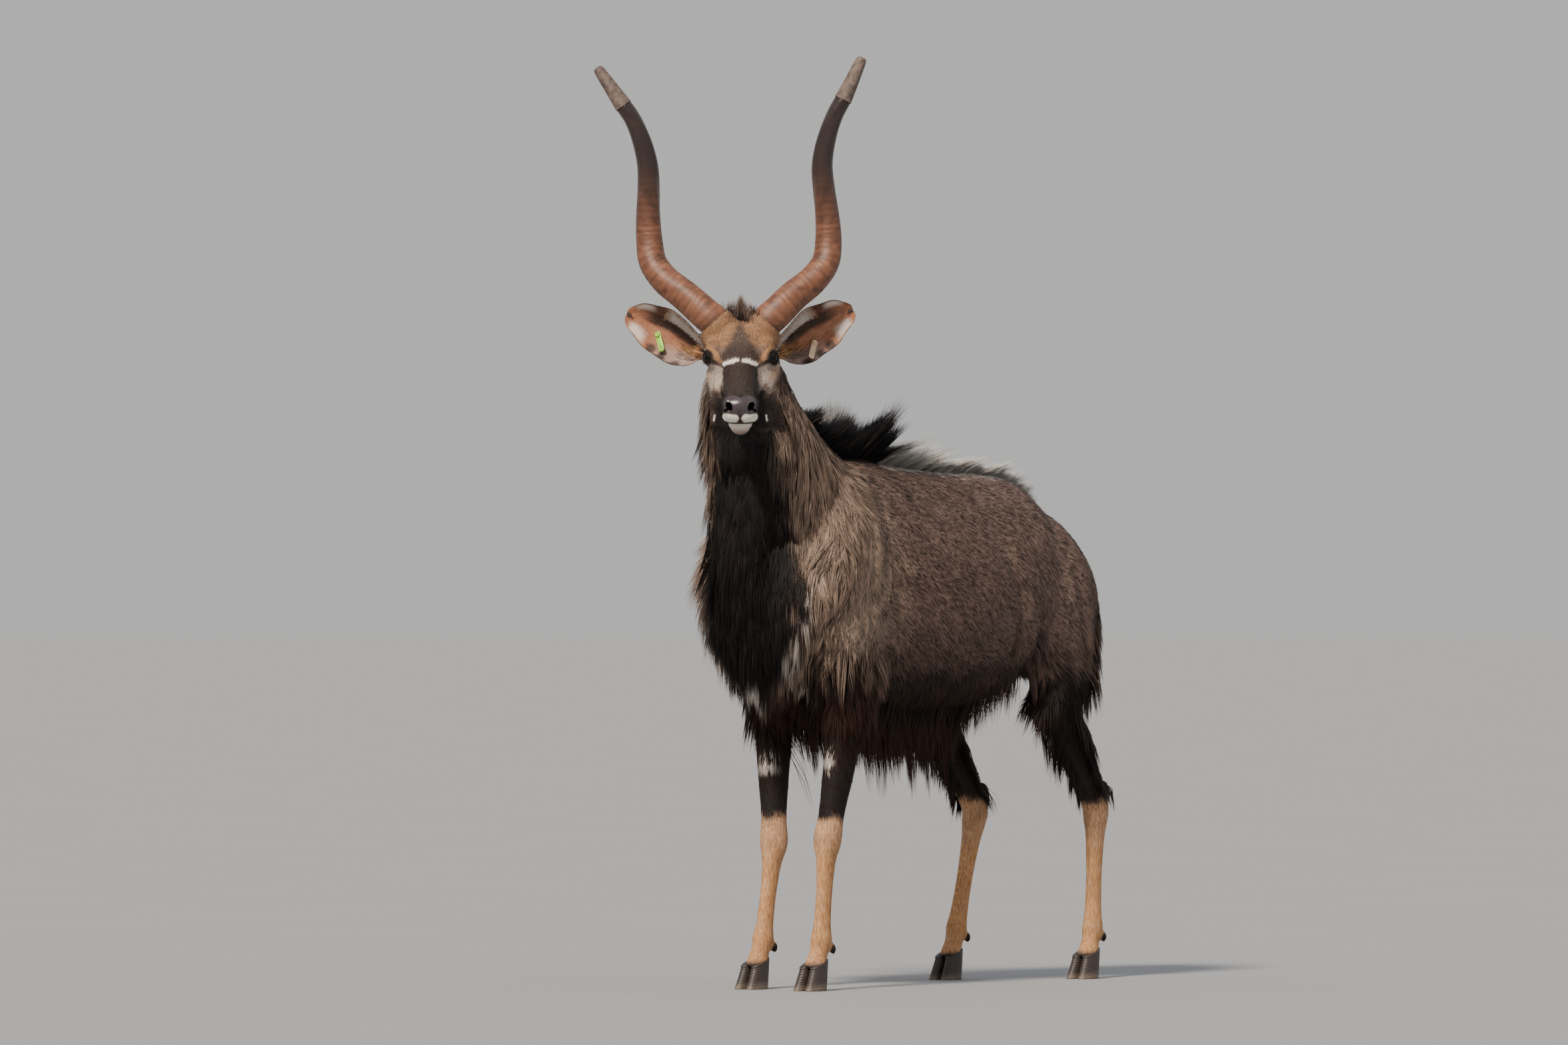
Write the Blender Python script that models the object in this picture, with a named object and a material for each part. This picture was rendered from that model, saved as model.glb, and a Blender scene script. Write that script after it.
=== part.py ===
"""A nyala bull, life size, standing with its head turned towards its left.

The animal walks towards -Y, its left side is +X and the floor is at z = 0. The flesh is made whole,
from lofted masses fused and smoothed together, and is then parted with thin cuts into head, neck,
torso, tail and legs. Horns, horn caps, ears, ear tags, eyes and hooves are solids of their own.
All sizes are in metres.
"""

import math
import random

import bmesh
import bpy
import numpy as np
from mathutils import Matrix, Vector
from mathutils.bvhtree import BVHTree

# Gap that touching pieces keep.
GAP = 0.0003

# The head: the point midway between the eyes, where the nose points, and how far the mouth line dips.
EYES_MIDDLE = Vector((0.018, -0.590, 1.322))
HEAD_TURN = math.radians(37)
HEAD_DIP = math.radians(17.5)
HEADING = Vector((math.sin(HEAD_TURN), -math.cos(HEAD_TURN), 0))
FORWARD = HEADING * math.cos(HEAD_DIP) - Vector((0, 0, math.sin(HEAD_DIP)))
ABOVE = HEADING * math.sin(HEAD_DIP) + Vector((0, 0, math.cos(HEAD_DIP)))
LEFTWARD = ABOVE.cross(FORWARD)

# Moves the finished animal so that the middle of its base is at the origin.
TO_ORIGIN = Vector((0.0317, 0.0475, 0.0))

# Trunk, breast to buttocks: place along the body, back line, belly line, half width.
TRUNK = (
    (-0.585, 0.905, 0.775, 0.045),
    (-0.555, 0.965, 0.725, 0.085),
    (-0.500, 1.030, 0.670, 0.120),
    (-0.420, 1.085, 0.625, 0.145),
    (-0.320, 1.125, 0.600, 0.160),
    (-0.200, 1.128, 0.588, 0.185),
    (-0.060, 1.112, 0.580, 0.205),
    (0.090, 1.102, 0.582, 0.212),
    (0.230, 1.100, 0.605, 0.200),
    (0.340, 1.088, 0.650, 0.180),
    (0.410, 1.050, 0.700, 0.152),
    (0.464, 0.992, 0.760, 0.118),
    (0.506, 0.930, 0.795, 0.076),
    (0.526, 0.895, 0.835, 0.035),
)

# Neck, shoulders to skull: centre, half width, half depth.
NECK = (
    ((0.000, -0.290, 0.890), 0.130, 0.215),
    ((0.000, -0.380, 0.985), 0.118, 0.190),
    ((0.000, -0.455, 1.080), 0.106, 0.152),
    ((0.000, -0.508, 1.170), 0.098, 0.124),
    ((0.000, -0.540, 1.245), 0.089, 0.106),
    ((0.002, -0.555, 1.305), 0.078, 0.088),
    ((0.006, -0.565, 1.355), 0.050, 0.052),
)

# Skull and muzzle, back to front, from the point between the eyes: forward, top, underside, half width.
SKULL = (
    (-0.118, 0.020, -0.030, 0.030),
    (-0.095, 0.055, -0.052, 0.048),
    (-0.060, 0.074, -0.062, 0.057),
    (-0.025, 0.068, -0.064, 0.060),
    (0.008, 0.050, -0.066, 0.057),
    (0.040, 0.031, -0.070, 0.048),
    (0.080, 0.011, -0.076, 0.038),
    (0.115, -0.006, -0.082, 0.033),
    (0.145, -0.017, -0.088, 0.0355),
    (0.164, -0.025, -0.090, 0.0380),
    (0.178, -0.033, -0.088, 0.0350),
    (0.187, -0.042, -0.082, 0.0270),
    (0.191, -0.052, -0.072, 0.0140),
)

# Lower jaw in the same terms.
JAW = (
    (-0.085, -0.020, -0.095, 0.030),
    (-0.065, -0.020, -0.118, 0.040),
    (-0.030, -0.030, -0.124, 0.042),
    (0.015, -0.040, -0.118, 0.036),
    (0.060, -0.060, -0.112, 0.028),
    (0.105, -0.070, -0.110, 0.025),
    (0.140, -0.080, -0.113, 0.026),
    (0.160, -0.085, -0.112, 0.024),
    (0.171, -0.088, -0.104, 0.014),
)

# Joints of the legs: elbow or stifle, knee or hock, fetlock, coronet.
FORE_LEFT = ((0.118, -0.325, 0.680), (0.093, -0.388, 0.312), (0.088, -0.402, 0.105), (0.087, -0.420, 0.050))
FORE_RIGHT = ((-0.108, -0.31, 0.68), (-0.074, -0.352, 0.305), (-0.076, -0.388, 0.105), (-0.078, -0.406, 0.05))
HIND_LEFT = ((0.138, 0.335, 0.660), (0.108, 0.562, 0.372), (0.106, 0.552, 0.108), (0.106, 0.535, 0.050))
HIND_RIGHT = ((-0.138, 0.235, 0.66), (-0.104, 0.412, 0.366), (-0.1, 0.335, 0.108), (-0.1, 0.315, 0.05))

# Girth of a foreleg: which bone, share of the way down it, half width, half depth.
FORE_GIRTH = (
    (0, 0.00, 0.052, 0.080),
    (0, 0.18, 0.047, 0.066),
    (0, 0.40, 0.040, 0.050),
    (0, 0.66, 0.031, 0.037),
    (0, 0.86, 0.028, 0.031),
    (0, 0.97, 0.031, 0.034),
    (1, 0.06, 0.029, 0.031),
    (1, 0.22, 0.020, 0.026),
    (1, 0.55, 0.0170, 0.0225),
    (1, 0.84, 0.0185, 0.0240),
    (2, 0.00, 0.0225, 0.0285),
    (2, 0.45, 0.0200, 0.0235),
    (2, 0.85, 0.0240, 0.0270),
    (2, 1.20, 0.0255, 0.0295),
)
HIND_GIRTH = (
    (0, 0.05, 0.050, 0.085),
    (0, 0.30, 0.041, 0.064),
    (0, 0.58, 0.031, 0.045),
    (0, 0.82, 0.025, 0.035),
    (0, 0.98, 0.027, 0.036),
    (1, 0.10, 0.026, 0.033),
    (1, 0.26, 0.020, 0.027),
    (1, 0.58, 0.0170, 0.0230),
    (1, 0.86, 0.0185, 0.0250),
    (2, 0.00, 0.0225, 0.0290),
    (2, 0.45, 0.0200, 0.0235),
    (2, 0.85, 0.0240, 0.0270),
    (2, 1.20, 0.0255, 0.0295),
)

# Horns: height and distance out of the left one and of the right one, set-back and girth of both.
HORN_PATH = (
    (-0.024, 0.042, -0.024, 0.042, 0.030, 0.0200),
    (0.002, 0.052, 0.002, 0.052, 0.017, 0.0325),
    (0.028, 0.077, 0.028, 0.078, 0.020, 0.0328),
    (0.062, 0.110, 0.062, 0.115, 0.034, 0.0312),
    (0.094, 0.150, 0.094, 0.156, 0.050, 0.0298),
    (0.130, 0.177, 0.130, 0.183, 0.066, 0.0284),
    (0.174, 0.184, 0.174, 0.191, 0.076, 0.0268),
    (0.226, 0.182, 0.226, 0.194, 0.076, 0.0248),
    (0.283, 0.176, 0.283, 0.194, 0.068, 0.0228),
    (0.338, 0.173, 0.336, 0.197, 0.058, 0.0208),
    (0.393, 0.182, 0.388, 0.209, 0.050, 0.0190),
    (0.438, 0.197, 0.430, 0.226, 0.046, 0.0172),
    (0.482, 0.220, 0.468, 0.252, 0.046, 0.0158),
    (0.559, 0.255, 0.538, 0.300, 0.054, 0.0090),
)
HORN_ROOT = Vector((-0.046, 0.0, 0.062))
HORN_TWIST = math.radians(400)
CAP_FROM = 0.905

EAR_THICKNESS = 0.0038

EYE_RADIUS = 0.0172
EYE_PLACE = (0.002, 0.0600, 0.004)


def head_point(forward, leftward, above):
    """A point given from the middle of the eyes, along the head's own directions."""
    return EYES_MIDDLE + FORWARD * forward + LEFTWARD * leftward + ABOVE * above


def mesh_object(name, mesh):
    obj = bpy.data.objects.new(name, mesh)
    bpy.context.scene.collection.objects.link(obj)
    return obj


def object_from(name, points, faces):
    mesh = bpy.data.meshes.new(name)
    mesh.from_pydata([tuple(p) for p in points], [], faces)
    mesh.update()
    return mesh_object(name, mesh)


def loft(name, rings):
    """A closed tube through rings of equally many points, with a flat cap at each end."""
    count = len(rings[0])
    points = [p for ring in rings for p in ring]
    faces = [tuple(reversed(range(count)))]
    for i in range(len(rings) - 1):
        for j in range(count):
            k = (j + 1) % count
            faces.append((i * count + j, i * count + k, (i + 1) * count + k))
            faces.append((i * count + j, (i + 1) * count + k, (i + 1) * count + j))
    faces.append(tuple(range((len(rings) - 1) * count, len(rings) * count)))
    obj = object_from(name, points, faces)
    face_out(obj)
    return obj


def face_out(obj):
    """Turns the faces of a closed mesh outwards."""
    work = bmesh.new()
    work.from_mesh(obj.data)
    bmesh.ops.recalc_face_normals(work, faces=work.faces)
    if work.calc_volume(signed=True) < 0:
        bmesh.ops.reverse_faces(work, faces=work.faces)
    work.to_mesh(obj.data)
    work.free()


def section(centre, side, up, half_side, half_up, count=20, taper=0.0, fullness=1.0):
    """A rounded ring. Taper narrows its upper half, and a fullness under 1 makes it boxier."""
    ring = []
    for i in range(count):
        angle = 2 * math.pi * i / count
        c, s = math.cos(angle), math.sin(angle)
        across = math.copysign(abs(c) ** fullness, c) * (1 - taper * s)
        rise = math.copysign(abs(s) ** fullness, s)
        ring.append(centre + side * (half_side * across) + up * (half_up * rise))
    return ring


def catmull(a, b, c, d, t):
    """A point of the smooth curve from b to c, whose neighbours are a and d."""
    bent = (2 * a - 5 * b + 4 * c - d) * t**2 + (3 * b - a - 3 * c + d) * t**3
    return 0.5 * ((2 * b) + (c - a) * t + bent)


def limb(name, centres, half_sides, half_ups, side=Vector((1, 0, 0)), taper=0.0, count=20):
    """A loft whose rings stand square to the path through their centres."""
    rings = []
    last = len(centres) - 1
    for i, centre in enumerate(centres):
        along = (centres[min(i + 1, last)] - centres[max(i - 1, 0)]).normalized()
        across = (side - along * side.dot(along)).normalized()
        rings.append(section(centre, across, across.cross(along), half_sides[i], half_ups[i], count, taper))
    return loft(name, rings)


def ball(name, centre, radii, turn=None, rings=10, count=16):
    """An ellipsoid, turned by a matrix whose columns are its own directions."""
    mesh = bpy.data.meshes.new(name)
    work = bmesh.new()
    bmesh.ops.create_uvsphere(work, u_segments=count, v_segments=rings, radius=1.0)
    turn = turn or Matrix.Identity(3)
    matrix = Matrix.Translation(centre) @ turn.to_4x4() @ Matrix.Diagonal((*radii, 1.0))
    bmesh.ops.transform(work, matrix=matrix, verts=work.verts)
    work.to_mesh(mesh)
    work.free()
    made = mesh_object(name, mesh)
    face_out(made)
    return made


def head_turn():
    """The head's own directions as the columns of a matrix."""
    return Matrix((FORWARD, LEFTWARD, ABOVE)).transposed()


def trunk_mass():
    rings = []
    for place, back, belly, half_width in TRUNK:
        centre = Vector((0, place, (back + belly) / 2))
        rings.append(
            section(centre, Vector((1, 0, 0)), Vector((0, 0, 1)), half_width, (back - belly) / 2, 28, 0.16)
        )
    return loft("trunk_mass", rings)


def neck_mass():
    centres = [Vector(c) for c, _, _ in NECK]
    return limb("neck_mass", centres, [w for _, w, _ in NECK], [d for _, _, d in NECK], count=24)


def head_loft(name, stations, taper):
    rings = []
    for forward, top, underside, half_width in stations:
        centre = head_point(forward, 0, (top + underside) / 2)
        rings.append(section(centre, LEFTWARD, ABOVE, half_width, (top - underside) / 2, 24, taper, 0.88))
    return loft(name, rings)


def head_masses():
    """Skull, jaw, brows, cheeks, horn stumps and the muzzle's swellings."""
    turn = head_turn()
    made = [head_loft("skull_mass", SKULL, 0.10), head_loft("jaw_mass", JAW, -0.12)]
    for side in (-1, 1):
        made.append(ball("brow", head_point(-0.016, side * 0.050, 0.018), (0.040, 0.024, 0.022), turn))
        made.append(ball("cheek", head_point(-0.022, side * 0.044, -0.030), (0.062, 0.023, 0.034), turn))
        made.append(ball("orbit", head_point(-0.002, side * 0.051, 0.001), (0.038, 0.0235, 0.030), turn))
        made.append(ball("jowl", head_point(-0.045, side * 0.038, -0.070), (0.044, 0.021, 0.045), turn))
        wing = head_point(0.163, side * 0.024, -0.048)
        made.append(ball("nostril_wing", wing, (0.022, 0.0165, 0.018), turn))
        lip = head_point(0.156, side * 0.019, -0.080)
        made.append(ball("upper_lip", lip, (0.025, 0.019, 0.0125), turn))
        collar = [horn_point(side, share)[0] for share in (-0.04, 0.0, 0.03, 0.07, 0.10)]
        girths = (0.034, 0.045, 0.047, 0.045, 0.038)
        made.append(limb("horn_collar", collar, girths, girths, HEADING))
        stalk, along = ear_frame(side)[:2]
        stalk_path = [stalk + along * step for step in (-0.045, -0.020, 0.004, 0.018)]
        girths = (0.030, 0.032, 0.028, 0.021)
        made.append(limb("ear_root", stalk_path, girths, girths, HEADING))
    made.append(ball("chin", head_point(0.150, 0, -0.103), (0.020, 0.021, 0.012), turn))
    return made


def joints_of(leg):
    return [Vector(j) for j in leg]


def leg_mass(name, leg, girths):
    joints = joints_of(leg)
    centres, sides, depths = [], [], []
    for bone, share, half_width, half_depth in girths:
        centres.append(joints[bone] + (joints[bone + 1] - joints[bone]) * share)
        sides.append(half_width)
        depths.append(half_depth)
    return limb(name, centres, sides, depths, count=18)


def shoulder_masses(side, leg):
    """Shoulder blade, upper arm and the elbow's muscle of one foreleg."""
    elbow = joints_of(leg)[0]
    blade = [
        Vector((side * 0.060, -0.265, 1.080)),
        Vector((side * 0.100, -0.305, 0.990)),
        Vector((side * 0.125, -0.360, 0.900)),
        Vector((side * 0.125, -0.420, 0.820)),
        Vector((side * 0.110, -0.450, 0.765)),
    ]
    arm = [
        Vector((side * 0.115, -0.455, 0.800)),
        Vector((side * 0.130, -0.390, 0.765)),
        Vector((elbow.x, elbow.y - 0.010, 0.715)),
        Vector((elbow.x, elbow.y - 0.010, 0.650)),
    ]
    return [
        limb("blade", blade, (0.030, 0.050, 0.060, 0.062, 0.040), (0.060, 0.095, 0.110, 0.095, 0.055)),
        limb("arm", arm, (0.045, 0.060, 0.058, 0.045), (0.055, 0.095, 0.105, 0.070)),
    ]


def haunch_masses(side, leg):
    """Thigh and stifle of one hind leg."""
    stifle = joints_of(leg)[0]
    thigh = [
        Vector((side * 0.062, 0.360, 0.985)),
        Vector((side * 0.092, 0.376, 0.915)),
        Vector((side * 0.115, 0.378 + (stifle.y - 0.30) * 0.35, 0.830)),
        Vector((side * 0.126, 0.365 + (stifle.y - 0.30) * 0.70, 0.740)),
        Vector((side * 0.130, stifle.y + 0.075, 0.655)),
        Vector((side * 0.125, stifle.y + 0.090, 0.600)),
    ]
    half_widths = (0.045, 0.066, 0.074, 0.068, 0.054, 0.038)
    half_depths = (0.080, 0.122, 0.147, 0.136, 0.106, 0.070)
    return [
        limb("thigh", thigh, half_widths, half_depths),
        ball("stifle", stifle + Vector((0, -0.005, 0.020)), (0.042, 0.055, 0.065)),
    ]


def hock_point(name, leg):
    """The heel bone behind the hock."""
    hock = joints_of(leg)[1]
    return ball(name, hock + Vector((0, 0.022, 0.026)), (0.018, 0.021, 0.034))


def dewclaws(leg):
    behind = joints_of(leg)[2] + Vector((0, 0.024, -0.018))
    return [ball("dewclaw", behind + Vector((x, 0, 0)), (0.009, 0.009, 0.014)) for x in (-0.013, 0.013)]


def tail_mass():
    """The tail, hanging close behind the buttocks, full to its brush."""
    path = [
        Vector((0, 0.500, 0.965)),
        Vector((0, 0.545, 0.945)),
        Vector((0.004, 0.578, 0.890)),
        Vector((0.006, 0.590, 0.800)),
        Vector((0.006, 0.592, 0.700)),
        Vector((0.004, 0.590, 0.600)),
        Vector((0.002, 0.586, 0.535)),
    ]
    half_widths = (0.024, 0.026, 0.030, 0.038, 0.040, 0.028, 0.006)
    half_depths = (0.022, 0.021, 0.022, 0.026, 0.028, 0.020, 0.005)
    return limb("tail_mass", path, half_widths, half_depths, count=16)


# Cores of the coat forms along the middle line, under their locks: place, foot, ridge and half width.
CREST = (
    (-0.520, 1.330, 1.365, 0.012),
    (-0.470, 1.255, 1.300, 0.015),
    (-0.400, 1.170, 1.212, 0.018),
    (-0.320, 1.090, 1.165, 0.022),
    (-0.230, 1.085, 1.158, 0.024),
    (-0.130, 1.080, 1.150, 0.022),
    (-0.060, 1.080, 1.132, 0.020),
    (0.000, 1.070, 1.122, 0.020),
    (0.100, 1.060, 1.112, 0.020),
    (0.280, 1.055, 1.106, 0.020),
    (0.390, 1.030, 1.076, 0.018),
    (0.450, 0.990, 1.030, 0.014),
)
FRINGE = (
    (-0.500, 0.740, 0.655, 0.050),
    (-0.420, 0.680, 0.590, 0.045),
    (-0.300, 0.640, 0.555, 0.040),
    (-0.150, 0.620, 0.535, 0.045),
    (0.020, 0.620, 0.530, 0.050),
    (0.130, 0.640, 0.540, 0.045),
    (0.220, 0.680, 0.590, 0.030),
)
# Core of the throat mane: centre, half width, half depth.
MANE = (
    ((0.004, -0.570, 1.230), 0.054, 0.038),
    ((0.002, -0.572, 1.150), 0.066, 0.046),
    ((0.000, -0.572, 1.050), 0.070, 0.048),
    ((0.000, -0.568, 0.950), 0.074, 0.050),
    ((0.000, -0.552, 0.850), 0.074, 0.052),
    ((0.000, -0.525, 0.760), 0.070, 0.052),
    ((0.000, -0.490, 0.690), 0.060, 0.048),
    ((0.000, -0.460, 0.635), 0.040, 0.036),
)


def curtain(name, stations, thin_at_top):
    """The core of a coat form along the middle line, thick at its foot and thin at its ridge."""
    rings = []
    for place, foot, tip, half in stations:
        centre = Vector((0, place, (foot + tip) / 2))
        tall = abs(tip - foot) / 2
        side, up = Vector((1, 0, 0)), Vector((0, 0, 1))
        rings.append(section(centre, side, up, half, tall, 16, 0.55 * thin_at_top))
    return loft(name, rings)


def mane_mass():
    """The core of the hair hung from throat and breast."""
    centres = [Vector(c) for c, _, _ in MANE]
    return limb("mane", centres, [w for _, w, _ in MANE], [d for _, _, d in MANE])


def fringe_lines(side, leg):
    """Where long hair grows down the front and the back of a hind leg, to above the hock."""
    stifle, hock = joints_of(leg)[:2]
    front = [
        stifle + Vector((0, -0.012, 0.06)),
        stifle + Vector((0, -0.020, -0.05)),
        stifle.lerp(hock, 0.42) + Vector((0, -0.036, -0.025)),
        stifle.lerp(hock, 0.80) + Vector((0, -0.026, -0.018)),
    ]
    back = [
        Vector((side * 0.112, 0.470, 0.860)),
        Vector((side * 0.120, 0.462 + (stifle.y - 0.30) * 0.6, 0.740)),
        Vector((side * 0.120, stifle.y * 0.45 + hock.y * 0.55 + 0.030, 0.600)),
        stifle.lerp(hock, 0.78) + Vector((0, 0.026, 0.022)),
    ]
    return front, back


def thigh_fringe(side, leg):
    """The cores of the long hair of a hind leg."""
    front, back = fringe_lines(side, leg)
    girths = (0.018, 0.024, 0.020, 0.010)
    return [
        limb("front_hair", front, girths, girths, count=12),
        limb("back_hair", back, girths, girths, count=12),
    ]


def evaluated_mesh(obj):
    graph = bpy.context.evaluated_depsgraph_get()
    return bpy.data.meshes.new_from_object(obj.evaluated_get(graph))


def settle(obj):
    """Applies an object's modifiers."""
    mesh = evaluated_mesh(obj)
    obj.modifiers.clear()
    obj.data = mesh
    return obj


def drop(*objects):
    for obj in objects:
        bpy.data.objects.remove(obj)


def fuse_masses(name, masses, voxel):
    """Joins overlapping masses and remeshes them as one skin."""
    work = bmesh.new()
    for mass in masses:
        work.from_mesh(mass.data)
    mesh = bpy.data.meshes.new(name)
    work.to_mesh(mesh)
    work.free()
    drop(*masses)
    whole = mesh_object(name, mesh)
    remesh = whole.modifiers.new("skin", "REMESH")
    remesh.mode = "VOXEL"
    remesh.voxel_size = voxel
    return settle(whole)


def relax(obj, passes, share_at):
    """Smooths a mesh, each point by its own share, so that muscles run into one another."""
    mesh = obj.data
    points = np.empty(len(mesh.vertices) * 3)
    mesh.vertices.foreach_get("co", points)
    points = points.reshape(-1, 3)
    edges = np.empty(len(mesh.edges) * 2, np.int64)
    mesh.edges.foreach_get("vertices", edges)
    a, b = edges[0::2], edges[1::2]
    total = len(points)
    neighbours = np.bincount(a, minlength=total) + np.bincount(b, minlength=total)
    share = share_at(points)[:, None]
    for _ in range(passes):
        mean = np.empty_like(points)
        for axis in range(3):
            column = points[:, axis]
            sums = np.bincount(a, column[b], total) + np.bincount(b, column[a], total)
            mean[:, axis] = sums / neighbours
        points += (mean - points) * share
    mesh.vertices.foreach_set("co", points.ravel())
    mesh.update()
    return obj


def softness(points):
    """Head and lower legs keep their shape, and trunk and thighs are blended."""
    z = points[:, 2]
    from_head = np.linalg.norm(points - np.array(head_point(0.05, 0, -0.03)), axis=1)
    body = np.clip((z - 0.42) / 0.25, 0, 1) * np.clip((from_head - 0.14) / 0.10, 0, 1)
    from_skull = np.linalg.norm(points - np.array(head_point(-0.04, 0, -0.02)), axis=1)
    skull = np.clip((0.18 - from_skull) / 0.05, 0, 1)
    return 0.05 + 0.05 * skull + 0.60 * body


def thin_out(obj, triangles):
    """Reduces a mesh to about so many triangles, fewest where it is flattest."""
    now = sum(len(p.vertices) - 2 for p in obj.data.polygons)
    reduce = obj.modifiers.new("fewer", "DECIMATE")
    reduce.ratio = triangles / now
    reduce.use_collapse_triangulate = True
    return settle(obj)


def region(name, planes, grow=0.0):
    """The convex solid inside a set of planes, each a point and an outward normal."""
    work = bmesh.new()
    bmesh.ops.create_cube(work, size=6.0)
    for point, normal in planes:
        normal = Vector(normal).normalized()
        place = Vector(point) + normal * grow
        everything = work.verts[:] + work.edges[:] + work.faces[:]
        found = bmesh.ops.bisect_plane(
            work, geom=everything, plane_co=place, plane_no=normal, clear_outer=True
        )
        rim = [e for e in found["geom_cut"] if isinstance(e, bmesh.types.BMEdge)]
        bmesh.ops.contextual_create(work, geom=rim)
    mesh = bpy.data.meshes.new(name)
    work.to_mesh(mesh)
    work.free()
    made = mesh_object(name, mesh)
    face_out(made)
    return made


def combine(obj, other, operation, solver="EXACT"):
    """One Boolean, applied."""
    cut = obj.modifiers.new(operation, "BOOLEAN")
    cut.operation = operation
    cut.object = other
    cut.solver = solver
    return settle(obj)


def copy_of(obj, name):
    return mesh_object(name, obj.data.copy())


def largest_shell(obj):
    """Keeps the biggest closed surface, which fills sealed hollows and drops loose scraps."""
    work = bmesh.new()
    work.from_mesh(obj.data)
    bmesh.ops.triangulate(work, faces=work.faces)
    bmesh.ops.dissolve_degenerate(work, dist=1e-6, edges=work.edges)
    unseen = set(work.faces)
    best = set()
    while unseen:
        stack = [unseen.pop()]
        shell = set(stack)
        while stack:
            for edge in stack.pop().edges:
                for face in edge.link_faces:
                    if face in unseen:
                        unseen.discard(face)
                        stack.append(face)
                        shell.add(face)
        if len(shell) > len(best):
            best = shell
    bmesh.ops.delete(work, geom=[f for f in work.faces if f not in best], context="FACES")
    bmesh.ops.triangulate(work, faces=work.faces)
    work.to_mesh(obj.data)
    work.free()
    return obj


# Cutting planes, each a point and the normal that points out of the piece it bounds.
HEAD_PLANES = (
    (head_point(-0.135, 0, 0.0), FORWARD * -0.90 - ABOVE * 0.43),
    (head_point(0.0, 0, -0.131), -ABOVE),
)
NECK_PLANE = ((0, -0.300, 1.120), Vector((0, -0.81, 0.58)))
BREAST_PLANE = ((0, -0.545, 0.8), Vector((0, -1, 0)))
TAIL_PLANES = (
    ((0, 0.540, 0.9), (0, -1, 0.18)),
    ((0.055, 0, 0), (1, 0, 0)),
    ((-0.055, 0, 0), (-1, 0, 0)),
    ((0, 0, 1.05), (0, 0, 1)),
)


def leg_planes(side, inner, front, back, top):
    """The wedge that parts a leg from the torso: open outwards and downwards."""
    return (
        ((side * inner, 0, 0), (-side, 0, 0)),
        ((0, front, 0), (0, -1, 0)),
        ((0, back, 0), (0, 1, 0)),
        ((side * inner, 0, top), (-side * 0.75, 0, 1)),
        ((side * 0.7, 0, 0), (side, 0, 0)),
    )


LEG_PLANES = {
    "foreleg_left": leg_planes(1, 0.050, -0.465, -0.180, 0.610),
    "foreleg_right": leg_planes(-1, 0.036, -0.465, -0.180, 0.605),
    "hindleg_left": leg_planes(1, 0.045, 0.215, 0.700, 0.650),
    "hindleg_right": leg_planes(-1, 0.045, 0.130, 0.700, 0.650),
}
HOOF_TILT = (0, -0.38, -1)


def coronet_plane(leg):
    return (joints_of(leg)[3] + Vector((0, 0, -0.004)), Vector(HOOF_TILT))


def horn_point(side, share):
    """The middle of a horn's core and its girth, at a share of its length."""
    at = share * (len(HORN_PATH) - 1)
    i = min(int(at), len(HORN_PATH) - 2)
    around = [Vector(HORN_PATH[min(max(k, 0), len(HORN_PATH) - 1)]) for k in (i - 1, i, i + 1, i + 2)]
    *sides, back, girth = catmull(*around, at - i)
    height, out = sides[:2] if side > 0 else sides[2:]
    across = HEADING.cross(Vector((0, 0, 1))) * -1
    root = head_point(HORN_ROOT.x, 0, HORN_ROOT.z)
    return root + across * (side * out) + Vector((0, 0, height)) - HEADING * back, girth


def horn_rings(side, shares, swell, count=12):
    """Rings of a horn, with a keel that winds round it as it rises."""
    rings = []
    for share in shares:
        centre, girth = horn_point(side, share)
        before, after = horn_point(side, max(share - 0.01, 0))[0], horn_point(side, min(share + 0.01, 1))[0]
        along = (after - before).normalized()
        across = (HEADING - along * HEADING.dot(along)).normalized()
        other = along.cross(across)
        ring = []
        for k in range(count):
            angle = 2 * math.pi * k / count
            from_keel = side * angle - HORN_TWIST * share
            keel = 1 + 0.14 * max(0.0, math.cos(from_keel)) ** 3 - 0.04 * math.cos(2 * from_keel)
            out = across * math.cos(angle) + other * math.sin(angle)
            ring.append(centre + out * (girth * keel + swell))
        rings.append(ring)
    return rings


def horn(name, side, seat=False):
    """A horn without its cap, or the slightly larger shape of its seat in the head."""
    shares = np.linspace(0, CAP_FROM, 19)
    if not seat:
        return loft(name, horn_rings(side, shares, 0))
    return loft(name, horn_rings(side, [-0.006], 4 * GAP) + horn_rings(side, shares[1:8], GAP))


# Outline of a cap over a horn's tip: share of its length and radius.
CAP_SHAPE = ((0.02, 0.0184), (0.30, 0.0166), (0.62, 0.0138), (0.88, 0.0115), (0.97, 0.0095), (1.00, 0.0055))


def horn_cap(name, side):
    """The blunt sleeve over a horn's tip."""
    seat = horn_point(side, CAP_FROM)[0]
    along = (horn_point(side, 1.0)[0] - seat).normalized()
    centres, radii = [seat + along * GAP], [0.0178]
    for share, radius in CAP_SHAPE:
        centres.append(horn_point(side, CAP_FROM + share * (1 - CAP_FROM))[0] + along * GAP)
        radii.append(radius)
    return limb(name, centres, radii, radii, HEADING, count=10)


def ear_frame(side):
    """Where an ear stands, the way its tip points, the way its cup opens and the way across it."""
    tip_rise = 0.45 if side < 0 else 0.51
    root = head_point(-0.096, side * 0.060, -0.014)
    along = (LEFTWARD * side + Vector((0, 0, tip_rise)) - HEADING * 0.26).normalized()
    opening = (HEADING * 1.0 - Vector((0, 0, 0.20)) + LEFTWARD * side * 0.10).normalized()
    opening = (opening - along * opening.dot(along)).normalized()
    return root, along, opening, along.cross(opening)


EAR_LENGTH = 0.203
# Where the cup of an ear is deepest, from -1 at one edge to 1 at the other.
EAR_FOLD = 0.20
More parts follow.
